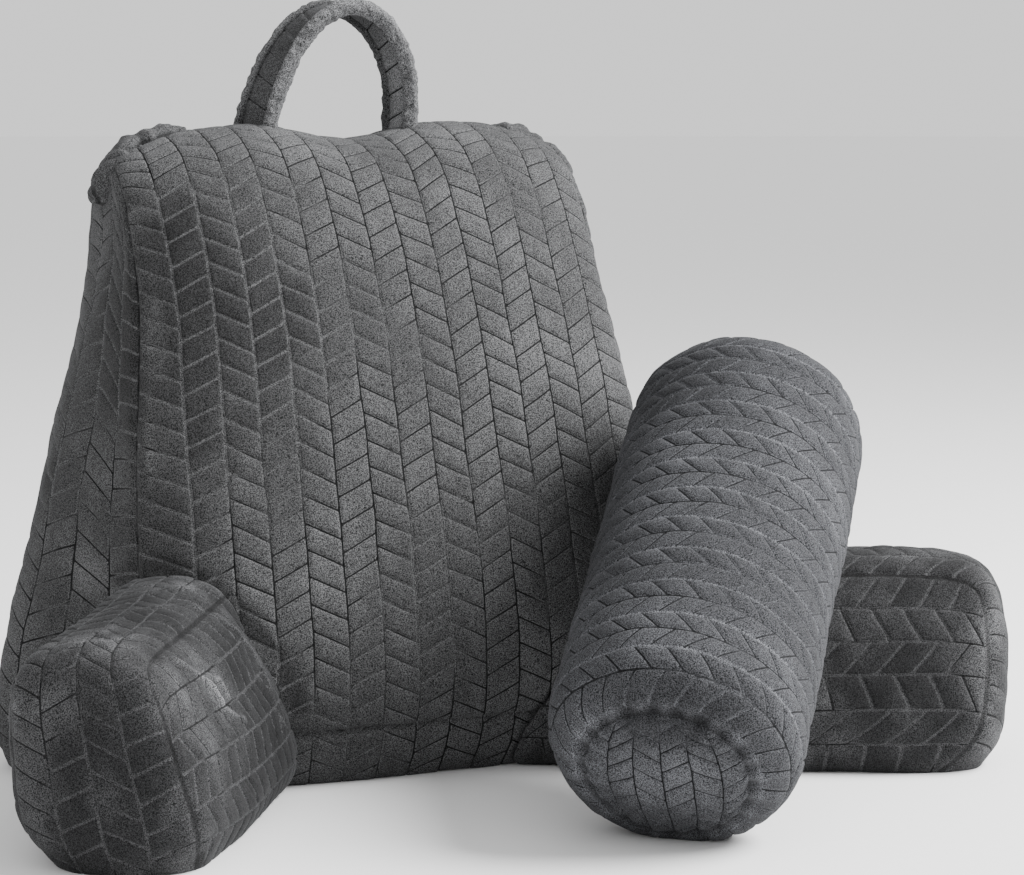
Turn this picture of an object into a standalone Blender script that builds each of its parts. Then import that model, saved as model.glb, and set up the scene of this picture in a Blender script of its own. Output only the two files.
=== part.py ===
"""Reading pillow: a leaning back cushion with two arms, a carry handle, two gathered corner
loops, one side pocket and its neck roll, all in one embossed herringbone plush.

Metres, +Z up, the sitter faces -Y. The origin is on the floor under the front of the back cushion.
"""

import bisect
import math

import bmesh
import bpy
from mathutils import Vector
from mathutils.bvhtree import BVHTree

COLLECTION_NAME = "reading_pillow"
CUTTERS_NAME = "cutters"
FLOOR = 0.0
GAP = 0.0003

# Herringbone relief of the cloth
COLUMN = 0.0275
PITCH = 0.021
ROW = PITCH / 2
ZIG = 0.0142 / 2
RELIEF = 0.002
SEAM = 0.004
SHARP_ANGLE = math.radians(50)
PLUSH_ROUGHNESS = 0.95

# How much of a panel's crown falls off evenly; the rest falls off near its edge
CROWN_EVEN_SHARE = 0.45

# Back cushion: middle and edge of the cloth strip that runs up the front, over the top and down
# the rear. Columns: y middle, z middle, y edge, z edge, half width.
BACK_STRIP = (
    (-0.006, 0.000, 0.044, 0.000, 0.212),
    (-0.022, 0.026, 0.020, 0.028, 0.226),
    (-0.036, 0.075, 0.006, 0.076, 0.231),
    (-0.034, 0.135, 0.010, 0.135, 0.229),
    (-0.008, 0.250, 0.036, 0.250, 0.220),
    (0.028, 0.380, 0.068, 0.375, 0.203),
    (0.064, 0.456, 0.096, 0.444, 0.200),
    (0.100, 0.497, 0.122, 0.476, 0.198),
    (0.165, 0.516, 0.166, 0.490, 0.194),
    (0.216, 0.498, 0.208, 0.474, 0.189),
    (0.244, 0.446, 0.228, 0.434, 0.185),
    (0.262, 0.330, 0.242, 0.330, 0.198),
    (0.268, 0.200, 0.246, 0.200, 0.220),
    (0.264, 0.080, 0.240, 0.080, 0.226),
    (0.246, 0.000, 0.226, 0.000, 0.218),
)
BACK_SHOULDER_ROWS = (6, 10)
BACK_COLUMNS = 15
BACK_FAN = 0.5
BACK_MEAN_HALF_WIDTH = 0.210
BACK_SIDE_COLUMNS = 6
BACK_SIDE_MARGIN = 0.02
BACK_SIDE_TOP = 0.985
BACK_SIDE_FLARE = 0.098
BACK_FLARE_FADE = 1.6
BACK_FLARE_FOOT = 0.8
BACK_FLARE_FOOT_HEIGHT = 0.4
BACK_FLARE_REARWARD = 1.4
BACK_FLARE_ROUNDNESS = 1.2
BACK_TOP = max(row[1] for row in BACK_STRIP)
BACK_LEAN = -0.013
TOP_DIP = 0.016
TOP_DIP_REACH = 0.055
TOP_TILT = 0.009
TOP_NEARNESS = 8

# Arms. Columns of the strip that runs up the tip and along the top to the root:
# reach middle, z middle, reach edge, z edge, half width.
ARM_STRIP = (
    (0.955, 0.000, 0.870, 0.000, 0.050),
    (1.000, 0.030, 0.938, 0.030, 0.062),
    (1.012, 0.070, 0.956, 0.070, 0.060),
    (1.002, 0.118, 0.952, 0.112, 0.055),
    (0.955, 0.147, 0.925, 0.137, 0.048),
    (0.840, 0.158, 0.830, 0.146, 0.043),
    (0.450, 0.165, 0.450, 0.150, 0.040),
    (0.006, 0.172, 0.006, 0.158, 0.041),
)
ARM_MEAN_LENGTH = 0.28
ARM_TIP_ROW = 4
ARM_COLUMNS = 4
ARM_STRIP_EDGE = 0.96
ARM_SIDE_COLUMNS = 6
ARM_SIDE_LENGTH = 0.26
ARM_SIDE_TOP = 0.97
ARM_SIDE_TIP = 0.975
ARM_SIDE_BULGE = 0.014
ARM_BULGE_START = 0.1
ARM_BULGE_FULLNESS = 0.75
ARM_LEAN = 0.030
ARM_ROOT_FOOT = {-1: 0.036, 1: 0.088}
ARM_ROOT_SWELL = 0.024
ARM_ROOT_SWELL_LOW = 0.6
ARM_ROOT_GRID = (14, 14)
ARM_ROOT_SLANT = 0.36
ARM_ROOT_REACH = 0.2

# Each arm: name, side of the back it is on, splay from straight ahead in degrees, length,
# distance of its root from the middle of the back, height against the table.
ARMS = (
    ("arm_left", -1, 34.0, 0.262, 0.172, 1.0),
    ("arm_right", 1, 62.0, 0.326, 0.162, 1.06),
)

# Height of what is seated on the back cushion above its cloth: arms and handle from the cloth
# without its relief, corner loops from the relief itself
SEATED = RELIEF + 0.0009
HANDLE_SEATED = RELIEF + 0.0004
LOOP_SEATED = 0.0006

# Neck roll: the middle of its foot, how steeply and which way it leans, and its own size
ROLL_RADIUS = 0.095
ROLL_LENGTH = 0.409
ROLL_SLOPE = math.radians(33.7)
ROLL_HEADING = math.radians(38.9)
ROLL_FOOT = (0.064, -0.3095)
ROLL_SINK = 0.003
ROLL_COLUMNS = 24
ROLL_RING = 48
ROLL_FOOT_STEPS = 100
ROLL_END_ROUNDING = (0.044, 0.033)
ROLL_CAP_COLUMNS = 6
ROLL_CAP_ROWS = 14
ROLL_CAP_CROWN = 0.012

# Carry handle: a flat strap with two rolled edges, arched over the top
HANDLE_FEET = (-0.076, 0.053)
HANDLE_RISE = 0.102
HANDLE_WIDTH = 0.050
HANDLE_THICKNESS = 0.017
HANDLE_Y = 0.172
HANDLE_STEPS = 28
HANDLE_LOOK_AHEAD = 0.01
HANDLE_LEAN = 0.013
HANDLE_ARCH = (1.25, 0.9)
HANDLE_TURN = (math.radians(22.0), math.radians(6.0))
HANDLE_SEAT = BACK_TOP - 0.004
HANDLE_HALF_SIDES = 7
HANDLE_EDGE_ROLL = (0.72, 0.22)
HANDLE_THIN_SHARE = 0.30
HANDLE_RIM_SHARE = 0.35

# Gathered corner loops: a short fat tube of cloth, pulled into pleats.
# Columns: distance from the middle, y, z, half height of the tube.
CORNER_LOOP = (
    (0.203, 0.150, 0.454, 0.008),
    (0.200, 0.153, 0.470, 0.014),
    (0.185, 0.157, 0.485, 0.0175),
    (0.165, 0.160, 0.495, 0.018),
    (0.145, 0.163, 0.503, 0.015),
    (0.130, 0.166, 0.507, 0.008),
)
CORNER_LOOP_PLEATS = 8
CORNER_LOOP_PLEAT_DEPTH = 0.0022
CORNER_LOOP_SIDES = 22
CORNER_LOOP_SHIFT = -0.007
CORNER_LOOP_WIDENING = 1.35

# Side pocket: a patch of cloth on the outer face of the left arm, open at the top
POCKET_REACH = (0.16, 0.84)
POCKET_HEIGHT = (0.022, 0.118)
POCKET_MOUTH = 0.016
POCKET_GAPE = 0.65
POCKET_THICKNESS = 0.0025
POCKET_GRID = (16, 10)

PLUSH = (0.060, 0.061, 0.066, 1.0)


def knots_of(rows, columns=2):
    """Distance along a table's rows, taken from its first columns."""
    knots = [0.0]
    for before, after in zip(rows, rows[1:]):
        knots.append(knots[-1] + math.dist(before[:columns], after[:columns]))
    return knots


def smooth_row(rows, knots, at):
    """Values at a distance along a table, on a smooth curve through its rows."""
    last = len(knots) - 1
    low = min(max(bisect.bisect_right(knots, at) - 1, 0), last - 1)
    span = knots[low + 1] - knots[low]
    t = (at - knots[low]) / span
    weights = (
        (1 + 2 * t) * (1 - t) ** 2,
        t * (1 - t) ** 2 * span,
        t * t * (3 - 2 * t),
        t * t * (t - 1) * span,
    )

    def slope(row, column):
        before, after = max(row - 1, 0), min(row + 1, last)
        return (rows[after][column] - rows[before][column]) / (knots[after] - knots[before])

    return [
        weights[0] * rows[low][column]
        + weights[1] * slope(low, column)
        + weights[2] * rows[low + 1][column]
        + weights[3] * slope(low + 1, column)
        for column in range(len(rows[0]))
    ]


def mix(a, b, t):
    return a + (b - a) * t


def crown_falloff(across):
    """How far a panel has dropped from its middle to its edge, 0 to 1, at -1 to 1 across it."""
    return mix(across ** 6, across ** 2, CROWN_EVEN_SHARE)


def zig_of(line):
    return ZIG if line % 2 == 0 else -ZIG


def net_rows(row_count, line, length):
    """Places of a column line's points along it, shifted so that the grooves slant."""
    shift = zig_of(line) / ROW
    rows = [row + (shift if 0 < row < row_count else 0.0) for row in range(row_count + 1)]
    return [row * length / row_count for row in rows]


def add_cells(bm, lines, closed=False):
    """Fill the columns between lines of points with slanted cells, each two rows high."""
    cells = []
    row_count = len(lines[0]) - (0 if closed else 1)
    for column in range(len(lines) - 1):
        left, right = lines[column], lines[column + 1]
        if closed:
            start = column % 2
            cuts = list(range(start, row_count + start + 1, 2))
        else:
            cuts = [0] + [row for row in range(1, row_count) if row % 2 == column % 2] + [row_count]
        for low, high in zip(cuts, cuts[1:]):
            rising = [left[row % len(left)] for row in range(low, high + 1)]
            falling = [right[row % len(right)] for row in range(high, low - 1, -1)]
            cells.append(bm.faces.new(rising + falling))
    return cells


def zip_chains(bm, first, second):
    """Join two chains of points that run side by side with a band of triangles: a seam."""
    i = j = 0
    while i < len(first) - 1 or j < len(second) - 1:
        step_first = math.inf
        step_second = math.inf
        if i < len(first) - 1:
            step_first = (first[i + 1].co - second[j].co).length
        if j < len(second) - 1:
            step_second = (second[j + 1].co - first[i].co).length
        if step_first < step_second:
            bm.faces.new((first[i], first[i + 1], second[j]))
            i += 1
        else:
            bm.faces.new((first[i], second[j + 1], second[j]))
            j += 1


def border_chain(lines):
    """Points of a patch's border, up its first line, along its far end and down its last line."""
    far_end = [line[-1] for line in lines[1:-1]]
    return lines[0] + far_end + lines[-1][::-1]


def coons(front, back, bottom, top, s, t):
    """Point of the surface that fills four border curves."""
    ruled = mix(front(t), back(t), s) + mix(bottom(s), top(s), t)
    corners = mix(mix(front(0.0), back(0.0), s), mix(front(1.0), back(1.0), s), t)
    return ruled - corners


def finish_mesh(bm, name, cells, material, press=None):
    """Close the flat base, raise the cells, and make the object."""
    rim = [edge for edge in bm.edges if edge.is_boundary]
    base = []
    if rim:
        base = bmesh.ops.holes_fill(bm, edges=rim, sides=0)["faces"]
    bmesh.ops.recalc_face_normals(bm, faces=bm.faces)
    bmesh.ops.poke(bm, faces=cells, offset=RELIEF, center_mode="MEAN")
    if base:
        bmesh.ops.triangulate(bm, faces=base, ngon_method="BEAUTY")
    for vert in bm.verts:
        if press:
            vert.co = press(vert.co)
        vert.co.z = max(vert.co.z, FLOOR)
    mesh = bpy.data.meshes.new(name)
    bm.to_mesh(mesh)
    bm.free()
    mesh.shade_smooth()
    mesh.set_sharp_from_angle(angle=SHARP_ANGLE)
    return make_object(name, mesh, material)


def make_object(name, mesh, material):
    obj = bpy.data.objects.new(name, mesh)
    obj.data.materials.append(material)
    bpy.data.collections[COLLECTION_NAME].objects.link(obj)
    return obj


def tube_object(bm, name, material):
    """Make the object of a finished closed tube."""
    bmesh.ops.recalc_face_normals(bm, faces=bm.faces)
    mesh = bpy.data.meshes.new(name)
    bm.to_mesh(mesh)
    bm.free()
    mesh.shade_smooth()
    return make_object(name, mesh, material)


def skin_rings(bm, rings):
    """Join closed rings of points, each to the next."""
    for low, high in zip(rings, rings[1:]):
        for i in range(len(low)):
            j = (i + 1) % len(low)
            bm.faces.new((low[i], low[j], high[j], high[i]))


def plush(name, colour):
    material = bpy.data.materials.new(name)
    material.use_nodes = True
    shader = material.node_tree.nodes["Principled BSDF"]
    shader.inputs["Base Color"].default_value = colour
    shader.inputs["Roughness"].default_value = PLUSH_ROUGHNESS
    shader.inputs["Metallic"].default_value = 0.0
    return material


# Back cushion

BACK_KNOTS = knots_of(BACK_STRIP)
BACK_ROWS = 2 * round(BACK_KNOTS[-1] / ROW / 2)


def back_strip_point(across, along):
    """Point of the front, top and rear cloth, at -1 to 1 across it."""
    y_mid, z_mid, y_edge, z_edge, half_width = smooth_row(BACK_STRIP, BACK_KNOTS, along)
    drop = crown_falloff(across)
    z = mix(z_mid, z_edge, drop)
    x = across * half_width + BACK_LEAN * max(z / BACK_TOP, 0.0) ** 2
    near_top = max(0.0, z_mid / BACK_TOP) ** TOP_NEARNESS
    z += near_top * (TOP_TILT * (1 + across) / 2 - TOP_DIP * math.exp(-(x / TOP_DIP_REACH) ** 2))
    return Vector((x, mix(y_mid, y_edge, drop), max(z, FLOOR)))


def back_line(line, along):
    """Place across the strip of a column line: even columns, and the last one takes the taper."""
    half_width = smooth_row(BACK_STRIP, BACK_KNOTS, along)[4]
    edge = 1.0 - SEAM / 2 / half_width
    if line == 0:
        return -edge
    if line == BACK_COLUMNS:
        return edge
    fan = 1 + BACK_FAN * (half_width / BACK_MEAN_HALF_WIDTH - 1)
    return (line - BACK_COLUMNS / 2) * COLUMN * fan / half_width


def back_side_point(side, s, t):
    """Point of a side panel, s from the front seam to the rear one, t from the floor up."""
    low, high = BACK_KNOTS[BACK_SHOULDER_ROWS[0]], BACK_KNOTS[BACK_SHOULDER_ROWS[1]]
    end = BACK_KNOTS[-1]
    point = coons(
        lambda t: back_strip_point(side, mix(0.0, low, t)),
        lambda t: back_strip_point(side, mix(end, high, t)),
        lambda s: mix(back_strip_point(side, 0.0), back_strip_point(side, end), s),
        lambda s: back_strip_point(side, mix(low, high, s)),
        s,
        t,
    )
    rise = (1 - t) ** BACK_FLARE_FADE * min(1.0, BACK_FLARE_FOOT + t / BACK_FLARE_FOOT_HEIGHT)
    swell = math.sin(math.pi * s ** BACK_FLARE_REARWARD) ** BACK_FLARE_ROUNDNESS
    return point + Vector((side * BACK_SIDE_FLARE * rise * swell, 0.0, 0.0))


def back_mesh(bm):
    """The whole back cushion as slanted cells and seam bands."""
    lines = []
    for line in range(BACK_COLUMNS + 1):
        places = net_rows(BACK_ROWS, line, BACK_KNOTS[-1])
        lines.append([bm.verts.new(back_strip_point(back_line(line, v), v)) for v in places])
    cells = add_cells(bm, lines)
    low, high = BACK_KNOTS[BACK_SHOULDER_ROWS[0]], BACK_KNOTS[BACK_SHOULDER_ROWS[1]]
    rows = round((low + BACK_KNOTS[-1] - high) / 2 / ROW)
    for side, edge in ((-1, lines[0]), (1, lines[-1])):
        patch = []
        for line in range(BACK_SIDE_COLUMNS + 1):
            s = mix(BACK_SIDE_MARGIN, 1 - BACK_SIDE_MARGIN, line / BACK_SIDE_COLUMNS)
            places = net_rows(rows, line, BACK_SIDE_TOP)
            patch.append([bm.verts.new(back_side_point(side, s, t)) for t in places])
        cells += add_cells(bm, patch)
        zip_chains(bm, edge, border_chain(patch))
    return cells


def back_cushion(material):
    bm = bmesh.new()
    cells = back_mesh(bm)
    return finish_mesh(bm, "back_cushion", cells, material)


def smooth_back_tree():
    """The back cushion without its relief, to seat the arms and the handle."""
    bm = bmesh.new()
    back_mesh(bm)
    bmesh.ops.holes_fill(bm, edges=[edge for edge in bm.edges if edge.is_boundary], sides=0)
    bmesh.ops.recalc_face_normals(bm, faces=bm.faces)
    bmesh.ops.triangulate(bm, faces=bm.faces)
    tree = BVHTree.FromBMesh(bm)
    bm.free()
    return tree


# Neck roll

ROLL_AXIS = Vector((
    math.cos(ROLL_SLOPE) * math.sin(ROLL_HEADING),
    math.cos(ROLL_SLOPE) * math.cos(ROLL_HEADING),
    math.sin(ROLL_SLOPE),
))
ROLL_ACROSS = Vector((math.cos(ROLL_HEADING), -math.sin(ROLL_HEADING), 0.0))
ROLL_UP = ROLL_ACROSS.cross(ROLL_AXIS)


def roll_centre(along):
    """Point on the roll's middle line. Its foot sinks a little, for a small flat spot."""
    places = [ROLL_LENGTH * i / ROLL_FOOT_STEPS for i in range(ROLL_FOOT_STEPS)]
    lowest = min(
        place * math.sin(ROLL_SLOPE) - roll_radius(place) * math.cos(ROLL_SLOPE) for place in places
    )
    return Vector((*ROLL_FOOT, -lowest - ROLL_SINK)) + ROLL_AXIS * along


def roll_point(along, radius, angle):
    centre = roll_centre(along)
    return centre + (ROLL_ACROSS * math.cos(angle) + ROLL_UP * math.sin(angle)) * radius


def roll_radius(along):
    """The roll narrows over a short rounding at each end."""
    from_end = min(along, ROLL_LENGTH - along)
    reach, drop = ROLL_END_ROUNDING
    inward = max(0.0, 1 - from_end / reach)
    return ROLL_RADIUS - RELIEF - drop * (1 - math.sqrt(max(0.0, 1 - inward ** 2)))


def disc_point(s, t):
    """Point of a round patch with four sides, as places -1 to 1 across and up."""
    quarter = math.pi / 4

    def rim(angle):
        return Vector((math.cos(angle), math.sin(angle)))

    return coons(
        lambda t: rim(math.pi + quarter - 2 * quarter * t),
        lambda t: rim(-quarter + 2 * quarter * t),
        lambda s: rim(math.pi + quarter + 2 * quarter * s),
        lambda s: rim(math.pi - quarter - 2 * quarter * s),
        s,
        t,
    )


def roll_cap(bm, along, outward):
    """One end of the roll as a shallow dome; returns its cells and its border."""
    radius = roll_radius(along) - SEAM / 2
    patch = []
    for line in range(ROLL_CAP_COLUMNS + 1):
        points = []
        for place in net_rows(ROLL_CAP_ROWS, line, 1.0):
            flat = disc_point(line / ROLL_CAP_COLUMNS, place)
            dome = ROLL_CAP_CROWN * (1 - flat.length_squared)
            centre = roll_centre(along + outward * dome)
            points.append(bm.verts.new(centre + (ROLL_ACROSS * flat.x + ROLL_UP * flat.y) * radius))
        patch.append(points)
    cells = add_cells(bm, patch)
    near_end = [line[0] for line in patch[1:-1]]
    return cells, border_chain(patch) + near_end[::-1]


def neck_roll(material):
    bm = bmesh.new()
    lines = []
    for line in range(ROLL_COLUMNS + 1):
        along = mix(SEAM / 2, ROLL_LENGTH - SEAM / 2, line / ROLL_COLUMNS)
        ring = []
        for row in range(ROLL_RING):
            turn = 2 * math.pi * (row + zig_of(line) / ROW) / ROLL_RING
            ring.append(bm.verts.new(roll_point(along, roll_radius(along), turn)))
        lines.append(ring)
    cells = add_cells(bm, lines, closed=True)
    for along, outward, ring in ((0.0, -1, lines[0]), (ROLL_LENGTH, 1, lines[-1])):
        more, border = roll_cap(bm, along, outward)
        cells += more
        zip_rings(bm, ring, border)
    return finish_mesh(bm, "neck_roll", cells, material)


def zip_rings(bm, ring, border):
    """Join two closed rings of points, starting where they are closest."""
    start = min(range(len(ring)), key=lambda i: (ring[i].co - border[0].co).length)
    ring = ring[start:] + ring[:start + 1]
    ahead = (ring[1].co - ring[0].co).dot(border[1].co - border[0].co)
    if ahead < 0:
        ring = ring[::-1]
    zip_chains(bm, ring, border + border[:1])


def clear_of_roll(point):
    """Push a point of a soft neighbour out of the neck roll."""
    offset = point - roll_centre(0.0)
    along = offset.dot(ROLL_AXIS)
    if not -ROLL_CAP_CROWN < along < ROLL_LENGTH + ROLL_CAP_CROWN:
        return point
    spoke = offset - ROLL_AXIS * along
    room = ROLL_RADIUS + GAP
    if spoke.length >= room:
        return point
    return point + spoke.normalized() * (room - spoke.length)


# Arms

ARM_TOP = ARM_STRIP[-1][1]
ARM_KNOTS = knots_of([(reach * ARM_MEAN_LENGTH, z) for reach, z, *_ in ARM_STRIP])
ARM_ROWS = 2 * round(ARM_KNOTS[-1] / ROW / 2)


def bulge_along(place):
    """Bulge of a side panel, 0 at its far border, 1 near its middle and a little at its near one."""
    return 4 * mix(ARM_BULGE_START, 1.0, place) * (1 - place)


class Arm:
    """Places of one arm, from its root on the back cushion to its tip."""

    def __init__(self, side, splay, length, root, height_share, back_tree):
        angle = math.radians(splay)
        self.axis = Vector((side * math.sin(angle), -math.cos(angle), 0.0))
        self.out = Vector((side * math.cos(angle), math.sin(angle), 0.0))
        self.side = side
        self.length = length
        self.height_share = height_share
        self.start = Vector((side * root, 0.0, 0.0))
        self.back_tree = back_tree

    def point(self, reach, across, height):
        """Point at 0 to 1 from root to tip, metres outwards from the middle, metres up."""
        level = Vector((0.0, 0.0, max(height, FLOOR) * mix(1.0, self.height_share, reach)))
        base = self.start + self.out * (across + ARM_LEAN * height / ARM_TOP) + level
        hit, normal, _, _ = self.back_tree.ray_cast(base + self.axis * ARM_ROOT_REACH, -self.axis)
        root = base
        if hit is not None:
            root = hit + self.axis * (SEATED / max(normal.dot(self.axis), ARM_ROOT_SLANT))
        return root.lerp(base + self.axis * self.length, reach)

    def strip_values(self, across, along):
        reach_mid, z_mid, reach_edge, z_edge, half_width = smooth_row(ARM_STRIP, ARM_KNOTS, along)
        drop = crown_falloff(across)
        reach = max(mix(reach_mid, reach_edge, drop), 0.0)
        return Vector((reach, across * half_width, max(mix(z_mid, z_edge, drop), FLOOR)))

    def side_values(self, face, s, t):
        """Values of a side panel, s from root to tip, t from the floor to the top seam."""
        tip, end = ARM_KNOTS[ARM_TIP_ROW], ARM_KNOTS[-1]
        values = coons(
            lambda t: self.root_edge(face, t),
            lambda t: self.strip_values(face, mix(0.0, tip, t)),
            lambda s: mix(self.root_edge(face, 0.0), self.strip_values(face, 0.0), s),
            lambda s: self.strip_values(face, mix(end, tip, s)),
            s,
            t,
        )
        values.y += face * ARM_SIDE_BULGE * (bulge_along(s) * bulge_along(t)) ** ARM_BULGE_FULLNESS
        return values

    def root_edge(self, face, t):
        """Values along the upright border of the root, on one face."""
        top = self.strip_values(face, ARM_KNOTS[-1])
        swell = 0.0
        if face < 0:
            swell = ARM_ROOT_SWELL * math.sin(math.pi * t ** ARM_ROOT_SWELL_LOW)
        return Vector((0.0, mix(face * ARM_ROOT_FOOT[face], top.y, t) + face * swell, top.z * t))

    def vert(self, bm, values):
        return bm.verts.new(self.point(*values))


def arm(name, shape, material):
    """One arm: the strip over its tip and top, two side panels, and the face on the back."""
    bm = bmesh.new()
    lines = []
    for line in range(ARM_COLUMNS + 1):
        across = mix(-ARM_STRIP_EDGE, ARM_STRIP_EDGE, line / ARM_COLUMNS)
        places = net_rows(ARM_ROWS, line, ARM_KNOTS[-1])
        lines.append([shape.vert(bm, shape.strip_values(across, v)) for v in places])
    cells = add_cells(bm, lines)
    root_ends = []
    for face, edge in ((-1, lines[0]), (1, lines[-1])):
        more, root_end = arm_side(bm, shape, face, edge)
        cells += more
        root_ends.append(root_end)
    arm_root(bm, shape, root_ends, [line[-1] for line in lines])
    return finish_mesh(bm, name, cells, material, press=clear_of_roll)


def arm_side(bm, shape, face, edge):
    """Inner or outer panel, seamed to an edge of the strip; returns its cells and root end."""
    patch = []
    rows = round(ARM_SIDE_LENGTH / ROW)
    for line in range(ARM_SIDE_COLUMNS + 1):
        t = ARM_SIDE_TOP * line / ARM_SIDE_COLUMNS
        places = net_rows(rows, line, ARM_SIDE_TIP)
        patch.append([shape.vert(bm, shape.side_values(face, s, t)) for s in places])
    tip_end = [line[-1] for line in patch]
    zip_chains(bm, edge, tip_end + patch[-1][-2::-1])
    return add_cells(bm, patch), [line[0] for line in patch]


def arm_root(bm, shape, root_ends, top):
    """The face against the back cushion, between the two panels and the end of the strip."""
    inner, outer = root_ends
    columns, rows = ARM_ROOT_GRID
    grid = []
    for column in range(1, columns):
        points = []
        for row in range(rows):
            t = row / rows
            values = mix(shape.root_edge(-1, t), shape.root_edge(1, t), column / columns)
            points.append(shape.vert(bm, values))
        grid.append(points)
    for left, right in zip(grid, grid[1:]):
        for row in range(rows - 1):
            bm.faces.new((left[row], left[row + 1], right[row + 1], right[row]))
    zip_chains(bm, inner, grid[0])
    zip_chains(bm, outer, grid[-1])
    crest = [inner[-1]] + [line[-1] for line in grid] + [outer[-1]]
    zip_chains(bm, crest, top)


# Carry handle

def strap_section():
    """Outline of the strap: thin in the middle, rolled at both edges."""
    outline = []
    for face in (1, -1):
        for step in range(HANDLE_HALF_SIDES):
            across = mix(-1.0, 1.0, step / (HANDLE_HALF_SIDES - 1)) * face
            at, spread = HANDLE_EDGE_ROLL
            roll = math.exp(-((abs(across) - at) / spread) ** 2)
            share = mix(HANDLE_THIN_SHARE, 1.0, roll)
            if step in (0, HANDLE_HALF_SIDES - 1):
                share = HANDLE_RIM_SHARE
            outline.append((across * HANDLE_WIDTH / 2, face * share * HANDLE_THICKNESS / 2))
    return outline


def handle_path(t):
    """Point of the strap's middle, from one foot over the arch to the other."""
    left, right = HANDLE_FEET
    turn = math.pi * t
    x = mix(left, right, 0.5) - (right - left) / 2 * math.cos(turn) + HANDLE_LEAN * math.sin(turn)
    rise = math.sin(turn) ** mix(*HANDLE_ARCH, t)
    return Vector((x, HANDLE_Y, HANDLE_SEAT + HANDLE_RISE * rise))


def carry_handle(material, back_tree):
    bm = bmesh.new()
    section = strap_section()
    rings = []
    for step in range(HANDLE_STEPS + 1):
        t = step / HANDLE_STEPS
        near = HANDLE_LOOK_AHEAD
        ahead = handle_path(min(t + near, 1.0)) - handle_path(max(t - near, 0.0))
        ahead.normalize()
        yaw = mix(*HANDLE_TURN, t)
        wide = Vector((math.sin(yaw), -math.cos(yaw), 0.0))
        wide = (wide - ahead * wide.dot(ahead)).normalized()
        thick = ahead.cross(wide).normalized()
        ring = []
        for across, height in section:
            point = handle_path(t) + wide * across + thick * height
            if step in (0, HANDLE_STEPS):
                above = Vector((point.x, point.y, 2 * BACK_TOP))
                point.z = back_tree.ray_cast(above, Vector((0.0, 0.0, -1.0)))[0].z + HANDLE_SEATED
            ring.append(bm.verts.new(point))
        rings.append(ring)
    skin_rings(bm, rings)
    for ring in (rings[0], rings[-1]):
        for i in range(HANDLE_HALF_SIDES - 1):
            bm.faces.new((ring[i], ring[i + 1], ring[-i - 2], ring[-i - 1]))
    return tube_object(bm, "carry_handle", material)


# Gathered corner loops

def corner_loop(name, side, material, cutter):
    bm = bmesh.new()
    knots = knots_of(CORNER_LOOP, 3)
    rings = []
    steps = 2 * CORNER_LOOP_PLEATS
    for step in range(steps + 1):
        at = knots[-1] * step / steps
        x, y, z, half = smooth_row(CORNER_LOOP, knots, at)
        ahead = Vector(smooth_row(CORNER_LOOP, knots, min(at + SEAM / 2, knots[-1]))[:3])
        behind = Vector(smooth_row(CORNER_LOOP, knots, max(at - SEAM / 2, 0.0))[:3])
        axis = (ahead - behind).normalized()
        wide = axis.cross(Vector((0.0, 0.0, 1.0))).normalized()
        thick = wide.cross(axis)
        half += CORNER_LOOP_PLEAT_DEPTH * (0.5 if step % 2 else -0.5)
        ring = []
        for corner in range(CORNER_LOOP_SIDES):
            turn = 2 * math.pi * corner / CORNER_LOOP_SIDES
            point = Vector((x, y, z)) + wide * half * CORNER_LOOP_WIDENING * math.cos(turn)
            point += thick * half * math.sin(turn)
            point.x = point.x * side + CORNER_LOOP_SHIFT
            ring.append(bm.verts.new(point))
        rings.append(ring)
    skin_rings(bm, rings)
    for ring in (rings[0], rings[-1]):
        bm.faces.new(ring)
    obj = tube_object(bm, name, material)
    seat = obj.modifiers.new("seat", "BOOLEAN")
    seat.operation = "DIFFERENCE"
    seat.solver = "EXACT"
    seat.object = cutter
    return obj


def back_clearance(back):
    """A slightly swollen copy of the back cushion, which cuts the seats of the corner loops."""
    mesh = back.data.copy()
    for vert in mesh.vertices:
        vert.co += vert.normal * LOOP_SEATED
    obj = bpy.data.objects.new("back_clearance", mesh)
    obj.hide_render = True
    obj.display_type = "WIRE"
    bpy.data.collections[CUTTERS_NAME].objects.link(obj)
    return obj


# Side pocket

def side_pocket(name, shape, material):
    """A patch with a gaping mouth, sewn on at its foot and its two upright edges."""
    columns, rows = POCKET_GRID
    bm = bmesh.new()
    grid = []
    for column in range(columns + 1):
        s = mix(*POCKET_REACH, column / columns)
        points = []
        for row in range(rows + 1):
            height = mix(*POCKET_HEIGHT, row / rows)
            top = shape.side_values(1, s, 1.0).z
            values = shape.side_values(1, s, height / top)
            gape = math.sin(math.pi * column / columns) ** POCKET_GAPE * (row / rows) ** POCKET_GAPE
            values.y += RELIEF + 2 * GAP + POCKET_MOUTH * gape
            points.append(shape.vert(bm, values))
        grid.append(points)
    for left, right in zip(grid, grid[1:]):
        for row in range(rows):
            bm.faces.new((left[row], left[row + 1], right[row + 1], right[row]))
    bmesh.ops.recalc_face_normals(bm, faces=bm.faces)
    if sum(face.normal.dot(shape.out) for face in bm.faces) < 0:
        bmesh.ops.reverse_faces(bm, faces=bm.faces)
    mesh = bpy.data.meshes.new(name)
    bm.to_mesh(mesh)
    bm.free()
    mesh.shade_smooth()
    obj = make_object(name, mesh, material)
    shell = obj.modifiers.new("thickness", "SOLIDIFY")
    shell.thickness = POCKET_THICKNESS
    shell.offset = 1.0
    return obj


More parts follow.
